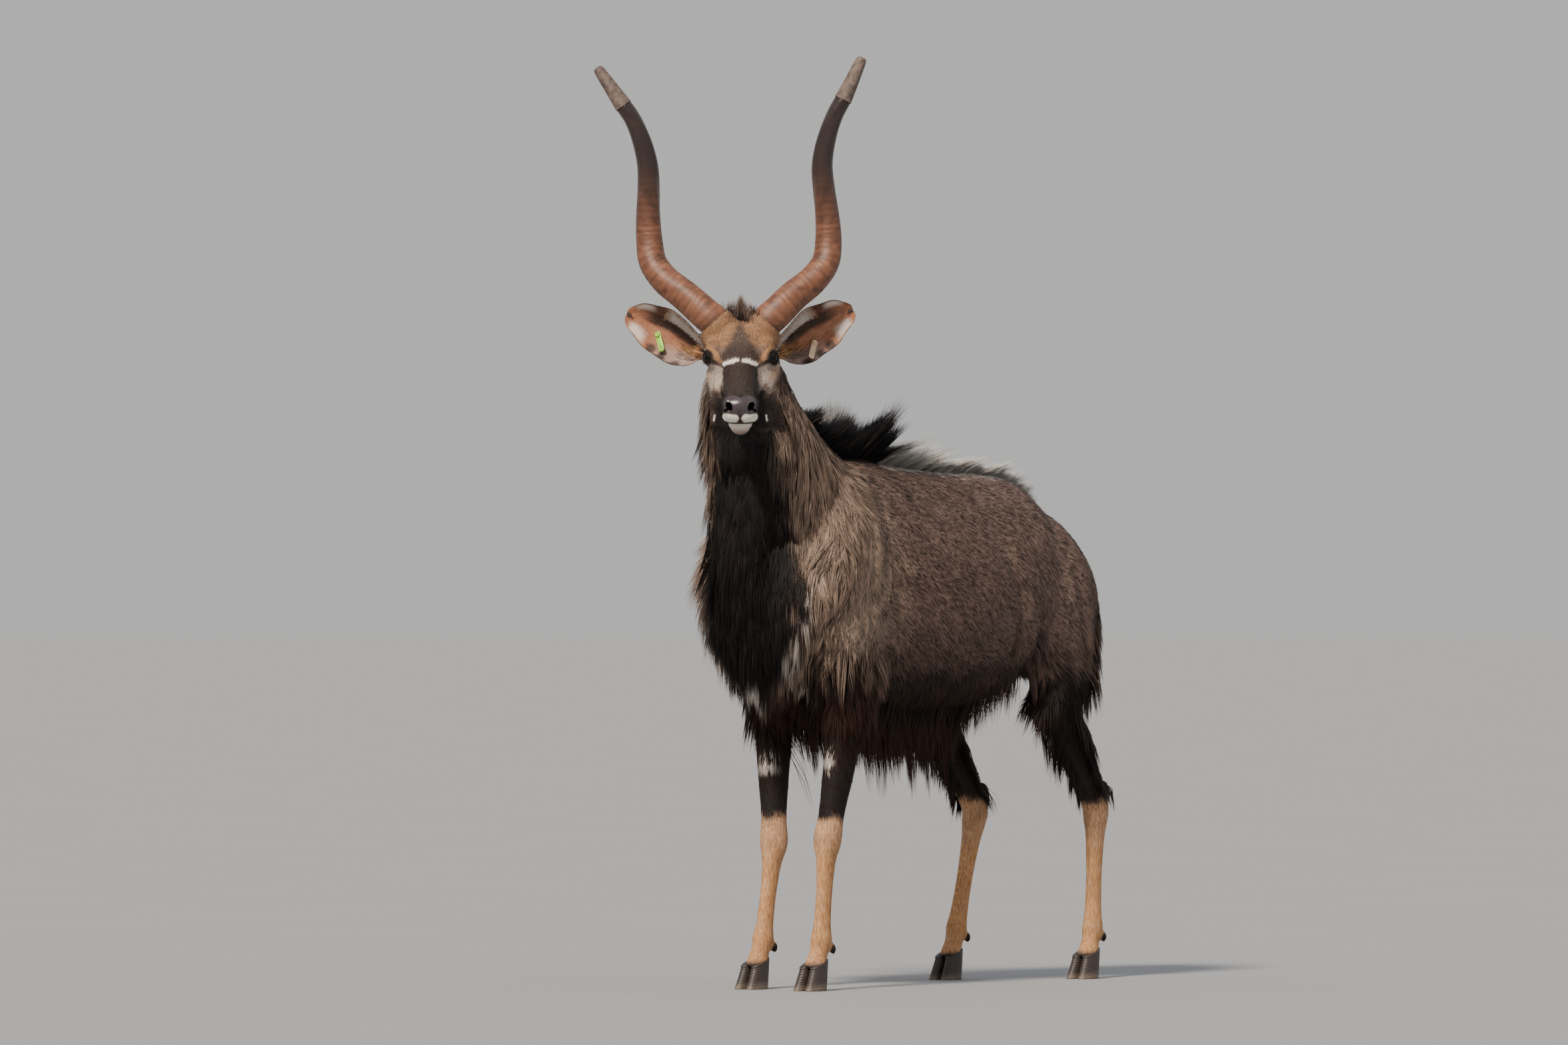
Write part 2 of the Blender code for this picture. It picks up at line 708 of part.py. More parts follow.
# Outline of an ear: share of its length, half width, depth of its cup, how far its middle lies up.
EAR_SHAPE = (
    (-0.10, 0.014, 0.000, 0.000),
    (0.00, 0.0165, 0.000, 0.000),
    (0.09, 0.0205, 0.004, -0.004),
    (0.16, 0.031, 0.022, -0.010),
    (0.26, 0.0415, 0.034, -0.013),
    (0.39, 0.0505, 0.037, -0.010),
    (0.54, 0.0525, 0.032, -0.004),
    (0.70, 0.0475, 0.024, -0.003),
    (0.85, 0.036, 0.014, 0.002),
    (0.95, 0.023, 0.006, 0.000),
    (1.00, 0.011, 0.002, 0.000),
)


def ear_place(side, share, up):
    """A point in the middle of an ear's wall: share of its length, -1 at its lower edge to 1 at its upper."""
    root, along, opening, across = ear_frame(side)
    across = across * (1 if across.z > 0 else -1)
    shares, *columns = zip(*EAR_SHAPE)
    half, depth, rise = (np.interp(share, shares, column) for column in columns)
    from_fold = (up - EAR_FOLD) / (1 + EAR_FOLD if up < EAR_FOLD else 1 - EAR_FOLD)
    sunk = opening * (depth * (from_fold**2 - 1))
    return root + along * (EAR_LENGTH * share) + across * (half * up + rise) + sunk


def ear(name, side, swell=0.0, stations=EAR_SHAPE):
    """A leaf-shaped cup on a stalk, or a slightly larger shape of it that cuts room for it."""
    opening = ear_frame(side)[2]
    rings = []
    for share, half, *_ in stations:
        share -= 0.004 if swell and share < -0.05 else 0
        plug = min(1.0, max(0.0, 1 - (share - 0.06) / 0.10)) * half * 0.85
        front, rear = [], []
        for k in range(7):
            s = -1 + k / 3
            edge = math.sqrt(max(0.0, 1 - s * s))
            wall = (EAR_THICKNESS / 2 + swell) * (0.4 + 0.6 * edge) + plug * edge
            middle = ear_place(side, share, s * (1 + swell / half))
            front.append(middle + opening * wall)
            rear.append(middle - opening * wall)
        rings.append(front + rear[::-1])
    return loft(name, rings)


def nick(side):
    """The small notch at the tip of an ear."""
    root, along, opening, across = ear_frame(side)
    tip = root + along * EAR_LENGTH + across * (0.004 * (1 if across.z < 0 else -1))
    beyond = tip + along * 0.02
    corners = [tip - along * 0.012, beyond + across * 0.009, beyond - across * 0.009]
    return loft("nick", [[c - opening * 0.03 for c in corners], [c + opening * 0.03 for c in corners]])


def eye(name, side, swell=0.0):
    forward, leftward, above = EYE_PLACE
    centre = head_point(forward, side * leftward, above)
    return ball(name, centre, (EYE_RADIUS + swell,) * 3, head_turn(), 8, 12)


def eye_opening(side):
    """The almond that parts the lids."""
    out = (LEFTWARD * side * 0.80 + FORWARD * 0.58 + ABOVE * 0.06).normalized()
    slant = FORWARD - ABOVE * 0.42
    slant = (slant - out * slant.dot(out)).normalized()
    turn = Matrix((slant, out, slant.cross(out))).transposed()
    forward, leftward, above = EYE_PLACE
    centre = head_point(forward, side * leftward, above) + out * EYE_RADIUS
    return ball("eye_opening", centre, (0.0160, 0.012, 0.0118), turn)


def lid_mass(side):
    forward, leftward, above = EYE_PLACE
    centre = head_point(forward, side * leftward, above)
    return ball("lids", centre, (EYE_RADIUS + 0.0028,) * 3, head_turn(), 8, 14)


def nostril(side):
    """A comma-shaped opening, slanting outwards and up."""
    slant = (ABOVE + LEFTWARD * side * 0.55 - FORWARD * 0.35).normalized()
    deep = (FORWARD + LEFTWARD * side * 0.35).normalized()
    deep = (deep - slant * deep.dot(slant)).normalized()
    turn = Matrix((deep, deep.cross(slant), slant)).transposed()
    return ball("nostril", head_point(0.180, side * 0.0225, -0.050), (0.016, 0.0062, 0.0100), turn)


def mouth_slit():
    """A shallow cut between the lips, from corner to corner."""
    outer = ((0.098, 0.060), (0.150, 0.070), (0.200, 0.050), (0.210, 0.0))
    inner = ((0.172, 0.0), (0.164, 0.018), (0.145, 0.026), (0.110, 0.026))
    round_left = [(f, x) for f, x in outer] + [(f, -x) for f, x in outer[-2::-1]]
    round_right = [(f, -x) for f, x in inner[::-1]] + [(f, x) for f, x in inner[1:]]
    path = [head_point(f, x, -0.0890) for f, x in (*round_left, *round_right)]
    half = ABOVE * 0.0012
    return loft("mouth_slit", [[p - half for p in path], [p + half for p in path]])


def claw(name, leg, toe):
    """Half of a cloven hoof, under the coronet cut, flat on the floor."""
    joint = joints_of(leg)[3]
    plane_point, plane_normal = coronet_plane(leg)
    plane_normal = plane_normal.normalized()
    rings = []
    for share in (0.0, 1.0):
        ring = []
        for k in range(10):
            angle = 2 * math.pi * k / 10
            c, s = math.cos(angle), math.sin(angle)
            across = (0.0125 + 0.0022 * share) * (c + 1) + 0.0012
            long = 0.027 + 0.006 * share
            point = Vector((joint.x + toe * across, joint.y - 0.006 - 0.014 * share + long * s, 0))
            top = plane_point.z - (point.y - plane_point.y) * plane_normal.y / plane_normal.z
            point.z = (top - GAP) * (1 - share)
            ring.append(point)
        rings.append(ring)
    return loft(name, rings)


# Where a tag's stud goes through the ear and where its strip points, as share and height for ear_place.
TAG_PLACES = {1: ((0.49, -0.50), (0.33, -0.95)), -1: ((0.62, -0.30), (0.44, -0.86))}
TAG_LIFT = 0.0050


def tag(name, side):
    """A plastic ear tag: a flat strip with a round stud, lying in the cup of the ear."""
    opening = ear_frame(side)[2]
    stud_at, tip_at = (ear_place(side, *place) for place in TAG_PLACES[side])
    lean = ((tip_at - stud_at).normalized() + opening * 0.16).normalized()
    wide = opening.cross(lean).normalized()
    face = lean.cross(wide).normalized()
    corners = ((-0.0068, 0), (0.0068, 0), (0.0068, 0.0018), (-0.0068, 0.0018))
    foot = stud_at + face * TAG_LIFT
    strip = [[foot + lean * at + wide * x + face * y for x, y in corners] for at in (-0.008, 0.040)]
    body = loft(name, strip)
    radii = (0.0058, 0.0052)
    stud = limb("stud", [stud_at, stud_at + face * 0.0105], radii, radii, wide, count=8)
    combine(body, stud, "UNION")
    leaf = ear("room", side, 2 * GAP)
    combine(body, leaf, "DIFFERENCE")
    drop(stud, leaf)
    return largest_shell(body)


MATERIALS = {
    "coat": ((0.085, 0.062, 0.052), 0.75, 0.0),
    "mane": ((0.028, 0.020, 0.018), 0.75, 0.0),
    "face": ((0.160, 0.095, 0.060), 0.70, 0.0),
    "stocking": ((0.520, 0.270, 0.110), 0.70, 0.0),
    "ear": ((0.380, 0.200, 0.130), 0.70, 0.0),
    "horn": ((0.130, 0.050, 0.030), 0.45, 0.0),
    "horn_cap": ((0.140, 0.100, 0.080), 0.80, 0.0),
    "hoof": ((0.030, 0.025, 0.022), 0.50, 0.0),
    "eye": ((0.010, 0.008, 0.007), 0.08, 0.0),
    "tag_green": ((0.300, 0.800, 0.080), 0.40, 0.0),
    "tag_cream": ((0.850, 0.780, 0.500), 0.40, 0.0),
}


def material(slot):
    made = bpy.data.materials.get(slot)
    if made is None:
        made = bpy.data.materials.new(slot)
        made.use_nodes = True
        colour, roughness, metallic = MATERIALS[slot]
        shader = made.node_tree.nodes["Principled BSDF"]
        shader.inputs["Base Color"].default_value = (*colour, 1.0)
        shader.inputs["Roughness"].default_value = roughness
        shader.inputs["Metallic"].default_value = metallic
    return made


def finish(obj, slot):
    """Gives a finished piece its material and moves it to the part's own origin."""
    obj.data.materials.clear()
    obj.data.materials.append(material(slot))
    obj.data.transform(Matrix.Translation(TO_ORIGIN))
    obj.data.shade_smooth()
    obj.data.set_sharp_from_angle(angle=math.radians(50))


# A lock's outline from root to tip: share of its length, of its width and of its thickness.
LOCK_SHAPE = ((0.0, 0.80, 1.0), (0.38, 1.0, 0.85), (0.74, 0.66, 0.55))
LOCK_SINK = 0.012


def lock(group, start, middle, tip, face, width, thickness):
    """A flat, tapered lock of hair, bent over its middle point and wide across the way it faces."""
    points, faces = [], []
    for share, wide, thick in LOCK_SHAPE:
        centre = start * (1 - share) ** 2 + middle * (2 * share * (1 - share)) + tip * share**2
        along = ((middle - start) * (1 - share) + (tip - middle) * share).normalized()
        across = along.cross(face).normalized()
        out = across.cross(along)
        half, deep = width * wide / 2, thickness * thick / 2
        points += [centre - across * half, centre + out * deep, centre + across * half, centre - out * deep]
    points.append(tip)
    last = len(LOCK_SHAPE) - 1
    for i in range(last):
        for j in range(4):
            a, b = i * 4 + j, i * 4 + (j + 1) % 4
            faces += [(a, b, b + 4), (a, b + 4, a + 4)]
    faces += [(last * 4 + j, last * 4 + (j + 1) % 4, len(points) - 1) for j in range(4)]
    faces += [(3, 2, 1), (3, 1, 0)]
    made = object_from("lock", points, faces)
    face_out(made)
    bpy.context.scene.collection.objects.unlink(made)
    group.objects.link(made)


def lying_lock(group, tree, origin, towards, lie, length, width, lift, draw):
    """A lock that lies along the skin where a ray from the origin meets it, with its tip lifted."""
    hit, normal = tree.ray_cast(origin, towards.normalized(), 1.0)[:2]
    if hit is None:
        return
    lie = (lie - normal * lie.dot(normal)).normalized()
    sway = lie.cross(normal) * draw.uniform(-0.012, 0.012)
    length *= draw.uniform(0.88, 1.12)
    start = hit - normal * LOCK_SINK
    middle = hit + lie * (length * 0.42) + normal * (lift * 0.35) + sway * 0.2
    tip = hit + lie * length + normal * lift * draw.uniform(0.85, 1.2) + sway
    lock(group, start, middle, tip, normal, width * draw.uniform(0.88, 1.08), 0.011)


def standing_lock(group, root, direction, bend, face, length, width, draw):
    """A lock that leaves the skin straight and bends towards its tip."""
    length *= draw.uniform(0.88, 1.10)
    direction = direction.normalized()
    sway = Vector((draw.uniform(-1, 1), draw.uniform(-1, 1), draw.uniform(-1, 1))) * 0.006
    start = root - direction * LOCK_SINK * 1.5
    middle = root + direction * (length * 0.5)
    tip = root + (direction + bend).normalized() * length + sway
    lock(group, start, middle, tip, face, width * draw.uniform(0.88, 1.12), 0.012)


def at_height(stations, height):
    """The centre of a mass at a height, between the stations given from the top down."""
    heights = [c[2] for c, _, _ in stations][::-1]
    centres = [[c[axis] for c, _, _ in stations][::-1] for axis in range(3)]
    return Vector([np.interp(height, heights, places) for places in centres])


def on_line(points, share):
    at = share * (len(points) - 1)
    i = min(int(at), len(points) - 2)
    return points[i].lerp(points[i + 1], at - i)


def mane_locks(group, tree, draw):
    """Rows that hang down the throat and the breast, each over the roots of the next."""
    rows = 6
    for row in range(rows):
        height = 1.150 - 0.088 * row
        centre = at_height(MANE, height)
        for k in range(7):
            angle = math.radians(-90 + 27 * (k + 0.5 * (row % 2)) + draw.uniform(-5, 5))
            outward = Vector((math.sin(angle), -math.cos(angle), 0))
            origin = centre + outward * 0.20 + Vector((0, 0, draw.uniform(-0.012, 0.012)))
            length = 0.145 + 0.030 * row / rows
            lying_lock(group, tree, origin, -outward, Vector((0, 0.07, -1)), length, 0.040, 0.026, draw)


def crest_locks(group, tree, draw):
    """The erect dark crest of nape and withers, and the short pale one along the back."""
    down, sideways = Vector((0, 0, -1)), Vector((1, 0, 0))
    for k in range(17):
        x = 0.009 * (1 if k % 2 else -1)
        place = -0.365 + 0.0200 * k + draw.uniform(-0.004, 0.004)
        hit = tree.ray_cast(Vector((x, place, 1.6)), down, 1.0)[0]
        direction = Vector((x * 9 + draw.uniform(-0.06, 0.06), 0.30, 1))
        length = 0.036 + 0.066 * min(1.0, (k + 1) / 5)
        if hit:
            standing_lock(group, hit, direction, Vector((0, 0.45, 0)), sideways, length, 0.036, draw)
    for k in range(14):
        x = 0.007 * (1 if k % 2 else -1)
        hit = tree.ray_cast(Vector((x, -0.025 + 0.033 * k, 1.6)), down, 1.0)[0]
        leaning = Vector((x * 10, 1.1, 1))
        if hit:
            standing_lock(group, hit, leaning, Vector((0, 0.8, -0.1)), sideways, 0.072, 0.026, draw)


def belly_locks(group, tree, draw):
    """The fringe under breast and belly."""
    up, sideways = Vector((0, 0, 1)), Vector((1, 0, 0))
    for k in range(11):
        for x in (-0.024, 0.024):
            place = -0.425 + 0.054 * k + draw.uniform(-0.008, 0.008)
            hit = tree.ray_cast(Vector((x, place, 0.2)), up, 1.0)[0]
            away = Vector((x * 6, 0.12, -1))
            if hit:
                standing_lock(group, hit, away, Vector((0, 0.30, 0)), sideways, 0.098, 0.048, draw)


def thigh_locks(group, tree, side, leg, draw):
    """Long hair hung from the front and the back edge of a hind leg."""
    for line, lean in zip(fringe_lines(side, leg), (-1, 1)):
        for k in range(7):
            x = 0.010 * (1 if k % 2 else -1)
            spot = on_line(line, (k + 0.5) / 7) + Vector((x, lean * 0.2, 0))
            hit = tree.ray_cast(spot, Vector((0, -lean, 0)), 0.4)[0]
            away = Vector((x * 8, lean * 0.42, -0.8))
            if hit:
                bend = Vector((0, -lean * 0.38, -0.6))
                standing_lock(group, hit, away, bend, Vector((side, 0, 0)), 0.112, 0.050, draw)


def tail_locks(group, tree, draw):
    """The brush of the tail."""
    for row in range(4):
        for k in range(4):
            angle = math.radians(90 * k + 45 * (row % 2) + draw.uniform(-10, 10))
            outward = Vector((math.sin(angle), -math.cos(angle) * 0.8, 0))
            origin = Vector((0.004, 0.588, 0.845 - 0.075 * row)) + outward * 0.06
            lying_lock(group, tree, origin, -outward, Vector((0, 0, -1)), 0.125, 0.040, 0.014, draw)


def head_locks(group, tree, draw):
    """The tuft between the horns."""
    for k in range(4):
        spot = head_point(-0.072 + 0.006 * (k % 2), -0.015 + 0.010 * k, 0.20)
        hit = tree.ray_cast(spot, -ABOVE, 0.4)[0]
        if hit:
            direction = ABOVE + LEFTWARD * (-0.24 + 0.16 * k) - FORWARD * 0.2
            standing_lock(group, hit, direction, -FORWARD * 0.2, FORWARD, 0.034, 0.014, draw)


def foreleg_locks(group, tree, side, leg, draw):
    """The tufts behind a forearm."""
    elbow, knee = joints_of(leg)[:2]
    for k in range(3):
        spot = elbow.lerp(knee, 0.08 + 0.16 * k) + Vector((0, 0.2, 0))
        hit = tree.ray_cast(spot, Vector((0, -1, 0)), 0.4)[0]
        away = Vector((side * 0.15, 0.55, -0.8))
        if hit:
            standing_lock(group, hit, away, Vector((0, -0.3, -0.4)), Vector((1, 0, 0)), 0.060, 0.036, draw)


def grow_locks(whole):
    """Roots every lock in the skin and joins them all to it."""
    draw = random.Random(11)
    tree = BVHTree.FromObject(whole, bpy.context.evaluated_depsgraph_get())
    group = bpy.data.collections.new("locks")
    bpy.context.scene.collection.children.link(group)
    mane_locks(group, tree, draw)
    crest_locks(group, tree, draw)
    belly_locks(group, tree, draw)
    tail_locks(group, tree, draw)
    head_locks(group, tree, draw)
    for side, fore, hind in ((1, FORE_LEFT, HIND_LEFT), (-1, FORE_RIGHT, HIND_RIGHT)):
        foreleg_locks(group, tree, side, fore, draw)
        thigh_locks(group, tree, side, hind, draw)
    union = whole.modifiers.new("locks", "BOOLEAN")
    union.operation = "UNION"
    union.operand_type = "COLLECTION"
    union.collection = group
    union.solver = "EXACT"
    settle(whole)
    drop(*group.objects)
    bpy.data.collections.remove(group)
    return largest_shell(whole)


def flesh():
    """The whole animal without horns, ears, eyes and hooves."""
    masses = [trunk_mass(), neck_mass(), *head_masses(), tail_mass()]
    for side, fore, hind in ((1, FORE_LEFT, HIND_LEFT), (-1, FORE_RIGHT, HIND_RIGHT)):
        masses += shoulder_masses(side, fore) + haunch_masses(side, hind) + thigh_fringe(side, hind)
        masses += [leg_mass("foreleg", fore, FORE_GIRTH), leg_mass("hindleg", hind, HIND_GIRTH)]
        masses += [hock_point("hock_point", hind), *dewclaws(fore), *dewclaws(hind)]
    masses += [curtain("crest", CREST, 1), mane_mass(), curtain("fringe", FRINGE, -1)]
    whole = fuse_masses("flesh", masses, 0.0040)
    relax(whole, 40, softness)
    return grow_locks(thin_out(whole, 3600))


def part_flesh(whole):
    """Cuts the whole flesh into its named parts, a thin gap between each two."""
    legs = {
        "foreleg_left": FORE_LEFT,
        "foreleg_right": FORE_RIGHT,
        "hindleg_left": HIND_LEFT,
        "hindleg_right": HIND_RIGHT,
    }
    nodes = {}
    for name, planes in LEG_PLANES.items():
        inside = region("inside", [*planes, coronet_plane(legs[name])], -GAP / 2)
        nodes[name] = combine(copy_of(whole, name), inside, "INTERSECT")
        drop(inside)
    cuts = {
        "head": HEAD_PLANES,
        "tail": TAIL_PLANES,
        "torso": [NECK_PLANE, BREAST_PLANE],
    }
    for name, planes in cuts.items():
        inside = region("inside", planes, -GAP / 2)
        nodes[name] = combine(copy_of(whole, name), inside, "INTERSECT")
        drop(inside)
    nodes["neck"] = copy_of(whole, "neck")
    for name, planes in (("neck", cuts["torso"]), ("neck", cuts["head"]), ("torso", TAIL_PLANES)):
        outside = region("outside", planes, GAP / 2)
        combine(nodes[name], outside, "DIFFERENCE")
        drop(outside)
    for planes in LEG_PLANES.values():
        outside = region("outside", planes, GAP / 2)
        combine(nodes["torso"], outside, "DIFFERENCE")
        drop(outside)
    drop(whole)
    return nodes


def carve_head(head):
    """Seats for horns, ears and eyes, the lids, the nostrils and the line of the mouth."""
    for side in (-1, 1):
        lids = lid_mass(side)
        combine(head, lids, "UNION")
        drop(lids)
    for side in (-1, 1):
        cutters = [
            horn("seat", side, True), ear("seat", side, GAP, EAR_SHAPE[:4]), eye("seat", side, GAP),
            eye_opening(side), nostril(side),
        ]
        for cutter in cutters:
            combine(head, cutter, "DIFFERENCE")
            drop(cutter)
    slit = mouth_slit()
    combine(head, slit, "DIFFERENCE")
    drop(slit)


def main():
    for obj in list(bpy.data.objects):
        bpy.data.objects.remove(obj)
    nodes = part_flesh(flesh())
    carve_head(nodes["head"])
    for name, node in nodes.items():
        largest_shell(node)
        finish(node, "face" if name == "head" else "coat")
    for word, side, fore, hind, colour in (
        ("left", 1, FORE_LEFT, HIND_LEFT, "tag_cream"),
        ("right", -1, FORE_RIGHT, HIND_RIGHT, "tag_green"),
    ):
        finish(horn(f"horn_{word}", side), "horn")
        finish(horn_cap(f"horn_cap_{word}", side), "horn_cap")
        leaf = ear(f"ear_{word}", side)
        cutter = nick(side)
        combine(leaf, cutter, "DIFFERENCE")
        drop(cutter)
        finish(leaf, "ear")
        finish(tag(f"ear_tag_{word}", side), colour)
        finish(eye(f"eye_{word}", side), "eye")
        for leg_word, leg in (("fore", fore), ("hind", hind)):
            finish(claw(f"hoof_{leg_word}_{word}_outer", leg, side), "hoof")
            finish(claw(f"hoof_{leg_word}_{word}_inner", leg, -side), "hoof")


main()
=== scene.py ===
"""A life-size nyala bull in its coat, standing with its head turned towards its left.

The flesh is one skin, made whole from lofted masses like those of the solids and drawn in by the depth
of the coat. Hair grows from it as thin closed tufts that follow the lie of the coat. Horns, their caps,
ears, ear tags, eyes, lids and hooves are pieces of their own. Sizes are in metres. The body is worked
out in its own directions (it walks towards -Y, its left side is +X) and set where the frame's eyes are.
"""

import math
from functools import partial

import bpy
import numpy as np
from mathutils import Matrix, Vector
from mathutils.kdtree import KDTree


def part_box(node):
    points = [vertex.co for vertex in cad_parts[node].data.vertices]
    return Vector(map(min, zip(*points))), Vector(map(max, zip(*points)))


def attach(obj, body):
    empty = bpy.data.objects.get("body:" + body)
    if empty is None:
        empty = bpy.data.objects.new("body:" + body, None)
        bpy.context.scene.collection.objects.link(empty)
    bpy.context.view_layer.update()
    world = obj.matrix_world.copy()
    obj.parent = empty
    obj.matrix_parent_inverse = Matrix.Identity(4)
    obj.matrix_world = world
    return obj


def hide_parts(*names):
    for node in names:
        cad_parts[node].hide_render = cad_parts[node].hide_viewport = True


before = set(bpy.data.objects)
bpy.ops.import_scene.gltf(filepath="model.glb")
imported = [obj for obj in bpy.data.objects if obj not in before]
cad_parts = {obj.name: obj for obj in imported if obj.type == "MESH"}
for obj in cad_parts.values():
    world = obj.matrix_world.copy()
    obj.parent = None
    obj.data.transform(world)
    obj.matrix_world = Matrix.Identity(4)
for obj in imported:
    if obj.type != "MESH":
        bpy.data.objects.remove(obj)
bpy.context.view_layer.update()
draw = np.random.default_rng(7)

X, Y, Z = np.eye(3)
SIDES = ("left", 1), ("right", -1)

# The head: the point midway between the eyes, where the nose points, and how far the mouth line dips.
EYES_MIDDLE = np.array((0.018, -0.590, 1.322))
HEAD_TURN = math.radians(37)
HEAD_DIP = math.radians(17.5)
HEADING = np.array((math.sin(HEAD_TURN), -math.cos(HEAD_TURN), 0))
FORWARD = HEADING * math.cos(HEAD_DIP) - Z * math.sin(HEAD_DIP)
ABOVE = HEADING * math.sin(HEAD_DIP) + Z * math.cos(HEAD_DIP)
LEFTWARD = np.cross(ABOVE, FORWARD)

# Trunk, breast to buttocks: place along the body, back line, belly line, half width.
TRUNK = (
    (-0.585, 0.905, 0.775, 0.045),
    (-0.555, 0.965, 0.725, 0.085),
    (-0.500, 1.030, 0.670, 0.120),
    (-0.420, 1.085, 0.625, 0.145),
    (-0.320, 1.125, 0.600, 0.160),
    (-0.200, 1.128, 0.588, 0.185),
    (-0.060, 1.112, 0.580, 0.205),
    (0.090, 1.102, 0.582, 0.212),
    (0.230, 1.100, 0.605, 0.200),
    (0.340, 1.088, 0.650, 0.180),
    (0.410, 1.050, 0.700, 0.152),
    (0.464, 0.992, 0.760, 0.118),
    (0.506, 0.930, 0.795, 0.076),
    (0.526, 0.895, 0.835, 0.035),
)

# Neck, shoulders to skull: centre, half width, half depth.
NECK = (
    (0.000, -0.290, 0.890, 0.130, 0.215),
    (0.000, -0.380, 0.985, 0.118, 0.190),
    (0.000, -0.455, 1.080, 0.106, 0.152),
    (0.000, -0.508, 1.170, 0.098, 0.124),
    (0.000, -0.540, 1.245, 0.089, 0.106),
    (0.002, -0.555, 1.305, 0.078, 0.088),
    (0.006, -0.565, 1.355, 0.050, 0.052),
)

# Skull and muzzle, back to front, from the point between the eyes: forward, top, underside, half width.
SKULL = (
    (-0.118, 0.020, -0.030, 0.030),
    (-0.095, 0.055, -0.052, 0.048),
    (-0.060, 0.074, -0.062, 0.057),
    (-0.025, 0.068, -0.064, 0.060),
    (0.008, 0.050, -0.066, 0.057),
    (0.040, 0.031, -0.070, 0.048),
    (0.080, 0.011, -0.076, 0.038),
    (0.115, -0.006, -0.082, 0.033),
    (0.145, -0.017, -0.088, 0.0355),
    (0.164, -0.025, -0.090, 0.0380),
    (0.178, -0.033, -0.088, 0.0350),
    (0.187, -0.042, -0.082, 0.0270),
    (0.191, -0.052, -0.072, 0.0140),
)

# Lower jaw in the same terms.
JAW = (
    (-0.085, -0.020, -0.095, 0.030),
    (-0.065, -0.020, -0.118, 0.040),
    (-0.030, -0.030, -0.124, 0.042),
    (0.015, -0.040, -0.118, 0.036),
    (0.060, -0.060, -0.112, 0.028),
    (0.105, -0.070, -0.110, 0.025),
    (0.140, -0.080, -0.113, 0.026),
    (0.160, -0.085, -0.112, 0.024),
    (0.171, -0.088, -0.104, 0.014),
)

# Joints of the legs: elbow or stifle, knee or hock, fetlock, coronet.
LEGS = {
    "fore_left": (1, (
        (0.118, -0.325, 0.680), (0.093, -0.388, 0.312), (0.088, -0.402, 0.105), (0.087, -0.420, 0.050),
    )),
    "fore_right": (-1, (
        (-0.108, -0.310, 0.680), (-0.074, -0.352, 0.305), (-0.076, -0.388, 0.105), (-0.078, -0.406, 0.050),
    )),
    "hind_left": (1, (
        (0.138, 0.335, 0.660), (0.108, 0.562, 0.372), (0.106, 0.552, 0.108), (0.106, 0.535, 0.050),
    )),
    "hind_right": (-1, (
        (-0.138, 0.235, 0.660), (-0.104, 0.412, 0.366), (-0.100, 0.335, 0.108), (-0.100, 0.315, 0.050),
    )),
}

# Girth of a leg: which bone, share of the way down it, half width, half depth.
FORE_GIRTH = (
    (0, 0.00, 0.052, 0.080),
    (0, 0.18, 0.047, 0.066),
    (0, 0.40, 0.040, 0.050),
    (0, 0.66, 0.031, 0.037),
    (0, 0.86, 0.028, 0.031),
    (0, 0.97, 0.031, 0.034),
    (1, 0.06, 0.029, 0.031),
    (1, 0.22, 0.020, 0.026),
    (1, 0.55, 0.0170, 0.0225),
    (1, 0.84, 0.0185, 0.0240),
    (2, 0.00, 0.0225, 0.0285),
    (2, 0.45, 0.0200, 0.0235),
    (2, 0.85, 0.0240, 0.0270),
    (2, 1.20, 0.0255, 0.0295),
)
HIND_GIRTH = (
    (0, 0.05, 0.050, 0.085),
    (0, 0.30, 0.041, 0.064),
    (0, 0.58, 0.031, 0.045),
    (0, 0.82, 0.025, 0.035),
    (0, 0.98, 0.027, 0.036),
    (1, 0.10, 0.026, 0.033),
    (1, 0.26, 0.020, 0.027),
    (1, 0.58, 0.0170, 0.0230),
    (1, 0.86, 0.0185, 0.0250),
    (2, 0.00, 0.0225, 0.0290),
    (2, 0.45, 0.0200, 0.0235),
    (2, 0.85, 0.0240, 0.0270),
    (2, 1.20, 0.0255, 0.0295),
)

# Horns: height and distance out of the left one and of the right one, set-back and girth of both.
HORN_PATH = (
    (-0.024, 0.042, -0.024, 0.042, 0.030, 0.0200),
    (0.002, 0.052, 0.002, 0.052, 0.017, 0.0325),
    (0.028, 0.077, 0.028, 0.078, 0.020, 0.0328),
    (0.062, 0.110, 0.062, 0.115, 0.034, 0.0312),
    (0.094, 0.150, 0.094, 0.156, 0.050, 0.0298),
    (0.130, 0.177, 0.130, 0.183, 0.066, 0.0284),
    (0.174, 0.184, 0.174, 0.191, 0.076, 0.0268),
    (0.226, 0.182, 0.226, 0.194, 0.076, 0.0248),
    (0.283, 0.176, 0.283, 0.194, 0.068, 0.0228),
    (0.338, 0.173, 0.336, 0.197, 0.058, 0.0208),
    (0.393, 0.182, 0.388, 0.209, 0.050, 0.0190),
    (0.438, 0.197, 0.430, 0.226, 0.046, 0.0172),
    (0.482, 0.220, 0.468, 0.252, 0.046, 0.0158),
    (0.559, 0.255, 0.538, 0.300, 0.054, 0.0090),
)
HORN_ROOT = (-0.046, 0.062)
HORN_TWIST = math.radians(400)
CAP_FROM = 0.905

EYE_RADIUS = 0.0172
EYE_AHEAD, EYE_OUT, EYE_UP = 0.002, 0.0600, 0.004
EYE_OPENING = (0.0150, 0.0106)

EAR_LENGTH = 0.203
EAR_THICKNESS = 0.0034
